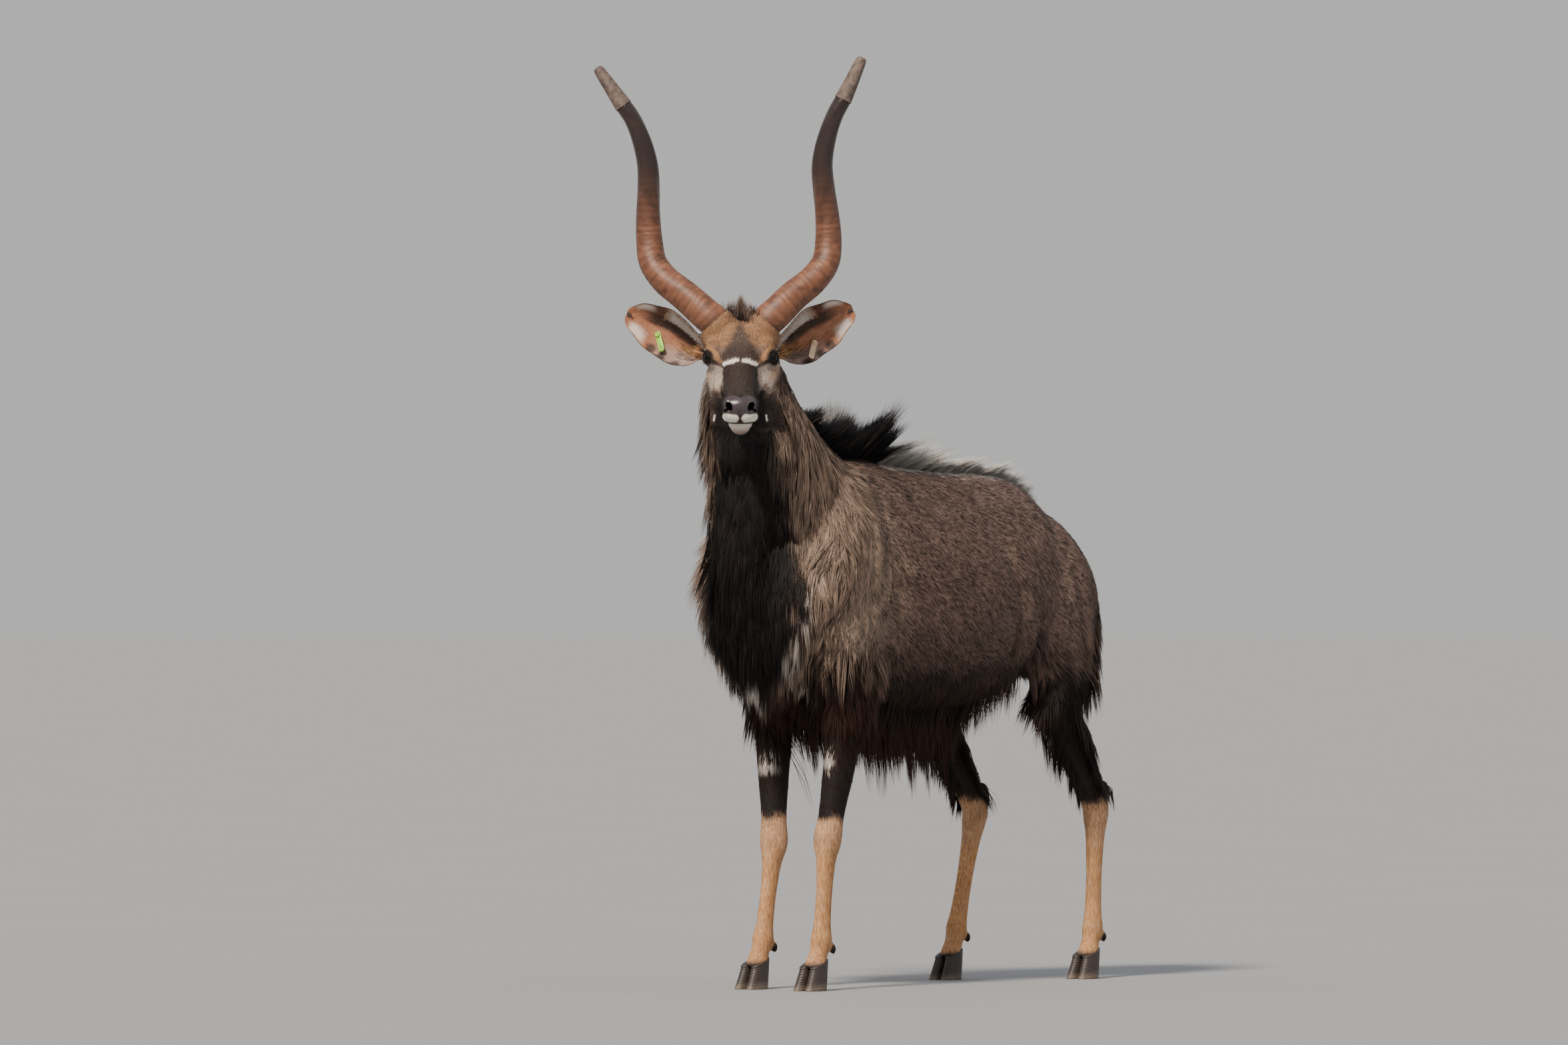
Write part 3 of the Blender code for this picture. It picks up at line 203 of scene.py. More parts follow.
# Outline of an ear: share of its length, half width, depth of its cup, how far its middle lies up.
EAR_SHAPE = (
    (-0.10, 0.014, 0.000, 0.000),
    (0.00, 0.0165, 0.000, 0.000),
    (0.09, 0.0205, 0.004, -0.004),
    (0.16, 0.031, 0.022, -0.010),
    (0.26, 0.0415, 0.034, -0.013),
    (0.39, 0.0505, 0.037, -0.010),
    (0.54, 0.0525, 0.032, -0.004),
    (0.70, 0.0475, 0.024, -0.003),
    (0.85, 0.036, 0.014, 0.002),
    (0.95, 0.023, 0.006, 0.000),
    (1.00, 0.011, 0.002, 0.000),
)
EAR_FOLD = 0.20

# The skin is remeshed at this size, smoothed so many times, then thinned to so many triangles, fewest on
# the body.
SKIN_VOXEL = 0.0024
SMOOTHINGS = 110
SKIN_TRIANGLES = 170000


def ease(low, high, value):
    """0 below low and 1 above high, or the other way round where high is the smaller."""
    share = np.clip((value - low) / (high - low), 0, 1)
    return share * share * (3 - 2 * share)


def unit(vectors):
    return vectors / np.maximum(np.linalg.norm(vectors, axis=-1, keepdims=True), 1e-9)


def head_point(forward, leftward, above):
    """A point given from the middle of the eyes, along the head's own directions."""
    return EYES_MIDDLE + FORWARD * forward + LEFTWARD * leftward + ABOVE * above


def head_places(points):
    """How far ahead of, left of and above the middle of the eyes the points lie."""
    offset = points - EYES_MIDDLE
    return offset @ FORWARD, offset @ LEFTWARD, offset @ ABOVE


def between(rows, share):
    """A place between the middle two of four rows, on a smooth curve through all of them."""
    a, b, c, d = rows
    bent = (2 * a - 5 * b + 4 * c - d) * share**2 + (3 * b - a - 3 * c + d) * share**3
    return 0.5 * (2 * b + (c - a) * share + bent)


def smooth_rows(rows, times):
    """The rows of a table, with more set between them on a smooth curve."""
    rows = np.array(rows, float)
    padded = np.vstack((rows[:1], rows, rows[-1:]))
    steps = np.arange(times) / times
    made = [between(padded[i : i + 4], t) for i in range(len(rows) - 1) for t in steps]
    return np.array([*made, rows[-1]])


def round_angles(count):
    """So many angles, spaced evenly round a circle."""
    return 2 * math.pi * np.arange(count) / count


def outward(points, faces, middle=0.0):
    """The faces of a closed form, turned over if they look inwards."""
    a, b, c = np.moveaxis(points[faces] - middle, 1, 0)
    return faces if (a * np.cross(b, c)).sum() > 0 else faces[:, ::-1]


def section(centre, side, up, half_side, half_up, count=40, taper=0.0, fullness=1.0):
    """A rounded ring. Taper narrows its upper half, and a fullness under 1 makes it boxier."""
    c, s = np.cos(round_angles(count)), np.sin(round_angles(count))
    across = np.sign(c) * np.abs(c) ** fullness * (1 - taper * s)
    rise = np.sign(s) * np.abs(s) ** fullness
    return centre + np.outer(half_side * across, side) + np.outer(half_up * rise, up)


def tube(rings):
    """Points and triangles of a closed form through rings of equally many points."""
    count = len(rings[0])
    last = len(rings) - 1
    points = np.vstack([*rings, rings[0].mean(0), rings[-1].mean(0)])
    step, j = np.meshgrid(np.arange(last), np.arange(count), indexing="ij")
    a, b = step * count + j, step * count + (j + 1) % count
    sides = np.stack((a, b, b + count, a, b + count, a + count), -1).reshape(-1, 3)
    j = np.arange(count)
    k = (j + 1) % count
    foot = np.stack((np.full(count, (last + 1) * count), k, j), -1)
    head = np.stack((np.full(count, (last + 1) * count + 1), last * count + j, last * count + k), -1)
    return points, outward(points, np.vstack((sides, foot, head)))


def limb(rows, side=X, taper=0.0, count=32, times=4):
    """A tube whose rings stand square to a path. Rows: centre, half width, half depth."""
    rows = smooth_rows(rows, times)
    centres = rows[:, :3]
    along = unit(np.gradient(centres, axis=0))
    rings = []
    for centre, way, (half_side, half_up) in zip(centres, along, rows[:, 3:5]):
        across = unit(side - way * (side @ way))
        rings.append(section(centre, across, np.cross(across, way), half_side, half_up, count, taper))
    return tube(rings)


def ball(centre, radii, turn=np.eye(3), rings=20, count=28):
    """An ellipsoid. The rows of turn are its own directions."""
    made = []
    angle = round_angles(count)
    for k in range(rings + 1):
        lift = math.pi * (k / rings - 0.5) * 0.995
        flat = np.stack((np.cos(angle) * math.cos(lift), np.sin(angle) * math.cos(lift)), -1)
        made.append(np.column_stack((flat, np.full(count, math.sin(lift)))) * radii @ turn + centre)
    return tube(made)


def piece_from(name, points, faces):
    """An object made of triangles given as arrays."""
    mesh = bpy.data.meshes.new(name)
    mesh.vertices.add(len(points))
    mesh.vertices.foreach_set("co", np.ascontiguousarray(points, np.float32).ravel())
    mesh.loops.add(faces.size)
    mesh.loops.foreach_set("vertex_index", np.ascontiguousarray(faces, np.int32).ravel())
    mesh.polygons.add(len(faces))
    mesh.polygons.foreach_set("loop_start", np.arange(0, faces.size, 3, dtype=np.int32))
    mesh.update(calc_edges=True)
    mesh.polygons.foreach_set("use_smooth", np.full(len(faces), True))
    obj = bpy.data.objects.new(name, mesh)
    bpy.context.scene.collection.objects.link(obj)
    return obj


def joined(name, forms):
    """One object from several forms of points and triangles."""
    points, faces, start = [], [], 0
    for form_points, form_faces in forms:
        points.append(form_points)
        faces.append(form_faces + start)
        start += len(form_points)
    return piece_from(name, np.vstack(points), np.vstack(faces))


def read(obj, what="co"):
    """Where a mesh's points are or, for normal, the way they face."""
    values = np.empty(len(obj.data.vertices) * 3, np.float32)
    obj.data.vertices.foreach_get(what, values)
    return values.reshape(-1, 3).astype(float)


def move_points(obj, points):
    obj.data.vertices.foreach_set("co", np.ascontiguousarray(points, np.float32).ravel())
    obj.data.update()


def settle(obj):
    """Applies an object's modifiers."""
    graph = bpy.context.evaluated_depsgraph_get()
    mesh = bpy.data.meshes.new_from_object(obj.evaluated_get(graph))
    obj.modifiers.clear()
    obj.data = mesh
    return obj


def mark(obj, **values):
    """Keeps numbers on a mesh's points, for its material to read: one for all, each tuft or each point."""
    total = len(obj.data.vertices)
    for name, numbers in values.items():
        numbers = np.atleast_1d(numbers)
        held = obj.data.attributes.get(name) or obj.data.attributes.new(name, "FLOAT", "POINT")
        held.data.foreach_set("value", np.repeat(numbers, total // len(numbers)).astype(np.float32))


def mark_vectors(obj, name, values):
    """Keeps a vector on each of a mesh's points."""
    held = obj.data.attributes.new(name, "FLOAT_VECTOR", "POINT")
    held.data.foreach_set("vector", np.ascontiguousarray(values, np.float32).ravel())


# Where the body stands in the frame.
eye_boxes = [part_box(f"eye_{side}") for side in ("left", "right")]
eyes_in_frame = np.mean([(np.array(low) + np.array(high)) / 2 for low, high in eye_boxes], axis=0)
STAND = eyes_in_frame - head_point(EYE_AHEAD, 0, EYE_UP)


def finish(obj, material, slot, *nodes):
    """Sets a piece in the frame, dressed, in place of the nodes that it stands for."""
    obj.data.transform(Matrix.Translation(STAND))
    obj.data.materials.clear()
    obj.data.materials.append(material)
    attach(obj, "root")
    if nodes:
        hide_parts(*nodes)
    return obj


# The flesh.

HEAD_DIRECTIONS = np.array((FORWARD, LEFTWARD, ABOVE))

# Cores of the coat forms along the middle line, under their hair: place, foot, ridge and half width.
CREST_CORE = (
    (-0.400, 1.170, 1.200, 0.014),
    (-0.320, 1.090, 1.150, 0.018),
    (-0.230, 1.085, 1.146, 0.018),
    (-0.130, 1.080, 1.140, 0.016),
    (-0.060, 1.080, 1.124, 0.014),
)
FRINGE_CORE = (
    (-0.500, 0.740, 0.665, 0.045),
    (-0.420, 0.680, 0.600, 0.042),
    (-0.300, 0.640, 0.565, 0.038),
    (-0.150, 0.620, 0.545, 0.042),
    (0.020, 0.620, 0.540, 0.046),
    (0.130, 0.640, 0.550, 0.040),
    (0.220, 0.680, 0.600, 0.026),
)
# Core of the throat mane: centre, half width, half depth.
MANE_CORE = (
    (0.004, -0.570, 1.230, 0.050, 0.034),
    (0.002, -0.572, 1.150, 0.062, 0.042),
    (0.000, -0.572, 1.050, 0.066, 0.044),
    (0.000, -0.568, 0.950, 0.070, 0.046),
    (0.000, -0.552, 0.850, 0.070, 0.048),
    (0.000, -0.525, 0.760, 0.066, 0.048),
    (0.000, -0.490, 0.690, 0.056, 0.044),
    (0.000, -0.460, 0.635, 0.038, 0.034),
)
# The tail: centre, half width, half depth.
TAIL = (
    (0.000, 0.500, 0.965, 0.024, 0.022),
    (0.000, 0.545, 0.945, 0.026, 0.021),
    (0.004, 0.578, 0.890, 0.026, 0.020),
    (0.006, 0.590, 0.800, 0.030, 0.022),
    (0.006, 0.592, 0.700, 0.032, 0.024),
    (0.004, 0.590, 0.600, 0.022, 0.017),
    (0.002, 0.586, 0.545, 0.006, 0.005),
)


def horn_point(side, share):
    """The middle of a horn's core and its girth, at a share of its length."""
    rows = np.array(HORN_PATH)
    at = np.clip(share, -0.05, 1) * (len(rows) - 1)
    i = int(np.clip(at, 0, len(rows) - 2))
    near = [rows[int(np.clip(k, 0, len(rows) - 1))] for k in range(i - 1, i + 3)]
    height_left, out_left, height_right, out_right, back, girth = between(near, at - i)
    height, out = (height_left, out_left) if side > 0 else (height_right, out_right)
    across = -np.cross(HEADING, Z)
    root = head_point(HORN_ROOT[0], 0, HORN_ROOT[1])
    return root + across * (side * out) + Z * height - HEADING * back, girth


def ear_frame(side):
    """Where an ear stands, the way its tip points, the way its cup opens and the way across it."""
    tip_rise = 0.45 if side < 0 else 0.51
    root = head_point(-0.096, side * 0.060, -0.014)
    along = unit(LEFTWARD * side + Z * tip_rise - HEADING * 0.26)
    opening = unit(HEADING - Z * 0.20 + LEFTWARD * side * 0.10)
    opening = unit(opening - along * (opening @ along))
    return root, along, opening, np.cross(along, opening)


def trunk():
    rows = smooth_rows(TRUNK, 3)
    middles = [(0, place, (back + belly) / 2) for place, back, belly, _ in rows]
    halves = [(half, (back - belly) / 2) for _, back, belly, half in rows]
    return tube([section(np.array(m), X, Z, *h, 56, 0.16) for m, h in zip(middles, halves)])


def head_loft(stations, taper):
    rings = []
    for forward, top, underside, half_width in smooth_rows(stations, 3):
        centre = head_point(forward, 0, (top + underside) / 2)
        rings.append(section(centre, LEFTWARD, ABOVE, half_width, (top - underside) / 2, 48, taper, 0.88))
    return tube(rings)


def head_masses():
    """Skull, jaw, brows, cheeks, horn stumps, lids and the muzzle's swellings."""
    forms = [head_loft(SKULL, 0.10), head_loft(JAW, -0.12)]
    for side in (-1, 1):
        swellings = (
            ((-0.014, 0.051, 0.019), (0.040, 0.024, 0.022)),
            ((-0.022, 0.044, -0.030), (0.062, 0.023, 0.034)),
            ((-0.045, 0.038, -0.070), (0.044, 0.021, 0.045)),
            ((0.163, 0.024, -0.048), (0.022, 0.0165, 0.018)),
            ((0.156, 0.019, -0.080), (0.025, 0.019, 0.0125)),
            ((-0.002, 0.051, 0.001), (0.038, 0.0235, 0.030)),
            ((EYE_AHEAD, EYE_OUT, EYE_UP), (EYE_RADIUS + 0.0040,) * 3),
        )
        for (forward, out, above), radii in swellings:
            forms.append(ball(head_point(forward, side * out, above), radii, HEAD_DIRECTIONS))
        collar_girths = zip((-0.04, 0.0, 0.03, 0.07, 0.10), (0.034, 0.045, 0.047, 0.045, 0.038))
        collar = [(*horn_point(side, share)[0], girth, girth) for share, girth in collar_girths]
        forms.append(limb(collar, HEADING))
        root, along = ear_frame(side)[:2]
        steps = zip((-0.045, -0.020, 0.004, 0.018), (0.030, 0.032, 0.028, 0.021))
        forms.append(limb([(*(root + along * step), girth, girth) for step, girth in steps], HEADING))
    forms.append(ball(head_point(0.148, 0, -0.106), (0.021, 0.0205, 0.0145), HEAD_DIRECTIONS))
    return forms


def leg_masses(leg, hind):
    """One leg from elbow or stifle down, with its hock bone and dewclaws."""
    joints = np.array(leg)
    rows = []
    for bone, share, half_width, half_depth in HIND_GIRTH if hind else FORE_GIRTH:
        rows.append((*(joints[bone] + (joints[bone + 1] - joints[bone]) * share), half_width, half_depth))
    forms = [limb(rows, count=28)]
    for x in (-0.013, 0.013):
        forms.append(ball(joints[2] + (x, 0.024, -0.018), (0.009, 0.009, 0.014)))
    if hind:
        forms.append(ball(joints[1] + (0, 0.022, 0.026), (0.018, 0.021, 0.034)))
    return forms


def shoulder_masses(side, leg):
    """Shoulder blade, upper arm and the elbow's muscle of one foreleg."""
    x, y = leg[0][:2]
    blade = (
        (side * 0.060, -0.265, 1.080, 0.030, 0.060),
        (side * 0.100, -0.305, 0.990, 0.050, 0.095),
        (side * 0.125, -0.360, 0.900, 0.060, 0.110),
        (side * 0.125, -0.420, 0.820, 0.062, 0.095),
        (side * 0.110, -0.450, 0.765, 0.040, 0.055),
    )
    arm = (
        (side * 0.115, -0.455, 0.800, 0.045, 0.055),
        (side * 0.130, -0.390, 0.765, 0.060, 0.095),
        (x, y - 0.010, 0.715, 0.058, 0.105),
        (x, y - 0.010, 0.650, 0.045, 0.070),
    )
    return [limb(blade), limb(arm)]


def haunch_masses(side, leg):
    """Thigh and stifle of one hind leg."""
    stifle = np.array(leg[0])
    swing = stifle[1] - 0.30
    thigh = (
        (side * 0.062, 0.360, 0.985, 0.045, 0.080),
        (side * 0.092, 0.376, 0.915, 0.066, 0.122),
        (side * 0.115, 0.378 + swing * 0.35, 0.830, 0.074, 0.147),
        (side * 0.126, 0.365 + swing * 0.70, 0.740, 0.068, 0.136),
        (side * 0.130, stifle[1] + 0.075, 0.655, 0.054, 0.106),
        (side * 0.125, stifle[1] + 0.090, 0.600, 0.038, 0.070),
    )
    return [limb(thigh), ball(stifle + (0, -0.005, 0.020), (0.042, 0.055, 0.065))]


def curtain(rows, thin_at_top):
    """The core of a coat form along the middle line."""
    rings = []
    for place, foot, tip, half in smooth_rows(rows, 3):
        centre = np.array((0, place, (foot + tip) / 2))
        rings.append(section(centre, X, Z, half, abs(tip - foot) / 2, 24, 0.55 * thin_at_top))
    return tube(rings)


def relax(points, edges, passes, share):
    """Smooths points along their edges, each by its own share, so that muscles run into one another."""
    a, b = edges.T
    total = len(points)
    neighbours = np.bincount(a, minlength=total) + np.bincount(b, minlength=total)
    for _ in range(passes):
        for axis in range(3):
            column = points[:, axis]
            sums = np.bincount(a, column[b], total) + np.bincount(b, column[a], total)
            points[:, axis] += (sums / neighbours - column) * share
    return points


def softness(points):
    """Head and lower legs keep their shape, and trunk and thighs are blended."""
    from_head = np.linalg.norm(points - head_point(0.05, 0, -0.03), axis=1)
    from_skull = np.linalg.norm(points - head_point(-0.04, 0, -0.02), axis=1)
    body = np.clip((points[:, 2] - 0.42) / 0.25, 0, 1) * np.clip((from_head - 0.14) / 0.10, 0, 1)
    return 0.06 + 0.08 * np.clip((0.18 - from_skull) / 0.05, 0, 1) + 0.60 * body


def on_head(points):
    """1 on the head, 0 on the neck, and a soft step between. The neck starts beside the jaw."""
    back = (points - head_point(-0.135, 0, 0)) @ unit(FORWARD * 0.90 + ABOVE * 0.43)
    above = (points - head_point(0, 0, -0.131)) @ ABOVE
    f, l, u = head_places(points)
    jaw = np.interp(u, (-0.135, -0.120, -0.090, -0.060, -0.020), (0.046, 0.054, 0.060, 0.066, 0.086))
    within = np.maximum(ease(jaw + 0.005, jaw - 0.005, np.abs(l)), ease(0.020, 0.045, f))
    return ease(-0.010, 0.012, back) * ease(-0.012, 0.006, above) * within


def coat_depth(points):
    """How far the skin lies under the coat's own outline."""
    head = on_head(points)
    f = head_places(points)[0]
    face = 0.0022 - 0.0012 * ease(0.08, 0.15, f)
    for side in (-1, 1):
        face = face * (1 - 0.6 * np.exp(-(np.linalg.norm(points - eye_centre(side), axis=1) / 0.026) ** 2))
    legs = ease(0.60, 0.42, points[:, 2])
    body = 0.0075 * (1 - legs) + 0.0022 * legs
    return head * face + (1 - head) * body


def eye_centre(side):
    return head_point(EYE_AHEAD, side * EYE_OUT, EYE_UP)


def eye_directions(side):
    """The way an eye looks, the slant of its opening towards the nose, and the way across that."""
    out = unit(LEFTWARD * side * 0.80 + FORWARD * 0.58 + ABOVE * 0.06)
    slant = FORWARD - ABOVE * 0.42
    slant = unit(slant - out * (slant @ out))
    up = np.cross(slant, out) * side
    return out, slant, up if up @ ABOVE > 0 else -up


def carvings():
    """What is cut from the head: eye openings, nostrils and the line of the mouth."""
    forms = []
    for side in (-1, 1):
        out, slant, up = eye_directions(side)
        wide, tall = EYE_OPENING
        centre = eye_centre(side) + out * EYE_RADIUS
        forms.append(ball(centre, (wide + 0.001, tall + 0.001, 0.012), np.array((slant, up, out))))
        slant = unit(ABOVE + LEFTWARD * side * 0.55 - FORWARD * 0.35)
        deep = unit(FORWARD + LEFTWARD * side * 0.35)
        deep = unit(deep - slant * (deep @ slant))
        directions = np.array((deep, np.cross(deep, slant), slant))
        forms.append(ball(head_point(0.181, side * 0.0215, -0.050), (0.020, 0.0068, 0.0105), directions))
        forms.append(ball(head_point(0.184, side * 0.0310, -0.058), (0.012, 0.0075, 0.0030), directions))
    lips = ((0.096, 0.060), (0.150, 0.070), (0.200, 0.050), (0.210, 0.0))
    gums = ((0.172, 0.0), (0.164, 0.018), (0.145, 0.026), (0.106, 0.026))
    there = [*lips, *((f, -x) for f, x in lips[-2::-1])]
    back = [*((f, -x) for f, x in gums[::-1]), *gums[1:]]
    edge = np.array([head_point(f, x, -0.0890) for f, x in (*there, *back)])
    forms.append(tube([edge - ABOVE * 0.0011, edge + ABOVE * 0.0011]))
    return forms


def dent(points, centre, reach, way, depth):
    """Moves points round a centre by a soft, round amount."""
    near = np.exp(-(((points - centre) / reach) ** 2).sum(1))
    return points + np.outer(near * depth, way)


def sculpt(points):
    """Folds and hollows of the face."""
    for side in (-1, 1):
        out = LEFTWARD * side
        # Cheek, side of the muzzle, brow, corner of the eye, tear groove, lip and throat behind the jaw.
        folds = (
            ((0.050, 0.046, -0.022), 0.016, -out, 0.0045),
            ((0.118, 0.033, -0.050), 0.018, -out, 0.0040),
            ((0.004, 0.052, 0.030), 0.013, out + ABOVE * 0.5, 0.0035),
            ((0.022, 0.050, 0.012), 0.006, -out, 0.0030),
            ((0.020, 0.052, -0.019), 0.008, -out, 0.0025),
            ((0.150, 0.030, -0.078), 0.010, out, 0.0020),
            ((-0.078, 0.068, -0.085), 0.022, -out, 0.0060),
        )
        for (forward, aside, above), reach, way, depth in folds:
            points = dent(points, head_point(forward, side * aside, above), reach, way, depth)
    points = dent(points, head_point(0.190, 0, -0.066), (0.004, 0.004, 0.014), -FORWARD, 0.0022)
    points = dent(points, head_point(-0.010, 0, 0.066), 0.022, -ABOVE, 0.0035)
    # Muscle lines of shoulder and flank: ridge or crease, its line as places along and up, and its width.
    x, y, z = points.T
    away = np.sign(x) * ease(0.07, 0.11, np.abs(x))
    lines = (
        (0.0070, ((-0.285, 1.04), (-0.300, 0.92), (-0.310, 0.80)), 0.030),
        (-0.0030, ((-0.315, 0.98), (-0.338, 0.86), (-0.345, 0.76)), 0.009),
        (-0.0030, ((-0.352, 0.93), (-0.372, 0.84), (-0.375, 0.74)), 0.009),
        (-0.0045, ((0.120, 0.95), (0.160, 0.84), (0.172, 0.70)), 0.022),
        (0.0040, ((0.175, 0.97), (0.215, 0.86), (0.225, 0.74)), 0.035),
        (-0.0035, ((0.385, 0.96), (0.410, 0.84), (0.430, 0.70)), 0.020),
    )
    for depth, path, width in lines:
        points = points + np.outer(depth * np.exp(-(from_line(y, z, path) / width) ** 2) * away, X)
    # The shoulder ends in a step behind the upper arm, which keeps itself in shade.
    ahead = np.interp(z, (0.74, 0.84, 0.95, 1.04), (-0.290, -0.264, -0.256, -0.236)) - y
    step = 0.0085 * ease(-0.0045, 0.0045, ahead) * np.exp(-((ahead / 0.060) ** 2))
    step = step * ease(0.72, 0.80, z) * ease(1.08, 0.98, z)
    return points + np.outer(step * away, X)


def make_skin():
    """The whole hide as one closed surface."""
    forms = [trunk(), limb(NECK, count=40), *head_masses(), limb(TAIL, count=24)]
    for name, (side, leg) in LEGS.items():
        hind = name.startswith("hind")
        forms += leg_masses(leg, hind)
        forms += haunch_masses(side, leg) if hind else shoulder_masses(side, leg)
    forms += [curtain(CREST_CORE, 1), curtain(FRINGE_CORE, -1), limb(MANE_CORE)]
    skin = joined("hide", forms)
    remesh = skin.modifiers.new("whole", "REMESH")
    remesh.mode = "VOXEL"
    remesh.voxel_size = SKIN_VOXEL
    settle(skin)
    edges = np.empty(len(skin.data.edges) * 2, np.int32)
    skin.data.edges.foreach_get("vertices", edges)
    points = read(skin)
    points = relax(points, edges.reshape(-1, 2), SMOOTHINGS, softness(points))
    move_points(skin, sculpt(points))
    points = read(skin)
    move_points(skin, points - read(skin, "normal") * coat_depth(points)[:, None])
    points = read(skin)
    group = skin.vertex_groups.new(name="plain")
    plain = 1 - on_head(points)
    for share in (0.0, 0.5, 1.0):
        chosen = np.flatnonzero(np.abs(plain - share) <= 0.25)
        group.add(chosen.tolist(), max(share, 0.03), "REPLACE")
    now = sum(len(face.vertices) - 2 for face in skin.data.polygons)
    fewer = skin.modifiers.new("fewer", "DECIMATE")
    fewer.ratio = SKIN_TRIANGLES / now
    fewer.vertex_group = "plain"
    fewer.vertex_group_factor = 6.0
    fewer.use_collapse_triangulate = True
    settle(skin)
    for k, form in enumerate(carvings()):
        cutter = joined(f"cut_{k}", [form])
        cut = skin.modifiers.new("cut", "BOOLEAN")
        cut.operation = "DIFFERENCE"
        cut.solver = "MANIFOLD"
        cut.object = cutter
        settle(skin)
        bpy.data.objects.remove(cutter)
    skin.data.shade_smooth()
    return skin


# Where the coat's colours lie.


def ripple(points, size, seed):
    """A smooth chance number at each point, mostly from -1 to 1, that changes over the given size."""
    chance = np.random.default_rng(seed)
    ways = unit(chance.normal(size=(12, 3))) * (2 * math.pi / size) * chance.uniform(0.5, 1.3, (12, 1))
    return np.sin(points @ ways.T + chance.uniform(0, 2 * math.pi, 12)).sum(1) / 3.4


def spot(points, centre, radii, edge=0.35):
    """1 in a round patch and 0 outside it."""
    far = np.sqrt((((points - centre) / radii) ** 2).sum(1))
    return ease(1 + edge, 1 - edge, far)


def from_line(across, up, path):
    """How far points are from a drawn line. Path: across, up."""
    far = np.full(len(across), 1.0)
    here = np.stack((across, up), -1)
    for start, end in zip(np.array(path[:-1]), np.array(path[1:])):
        along = end - start
        share = np.clip((here - start) @ along / (along @ along), 0, 1)
        far = np.minimum(far, np.linalg.norm(here - start - share[:, None] * along, axis=1))
    return far


def stroke(across, up, path, half):
    """1 along a drawn line with soft edges."""
    return ease(half * 1.3, half * 0.7, from_line(across, up, path))


# The small white mark on each side of the jaw: across, up.
CRESCENT = ((0.0535, -0.118), (0.0555, -0.129))


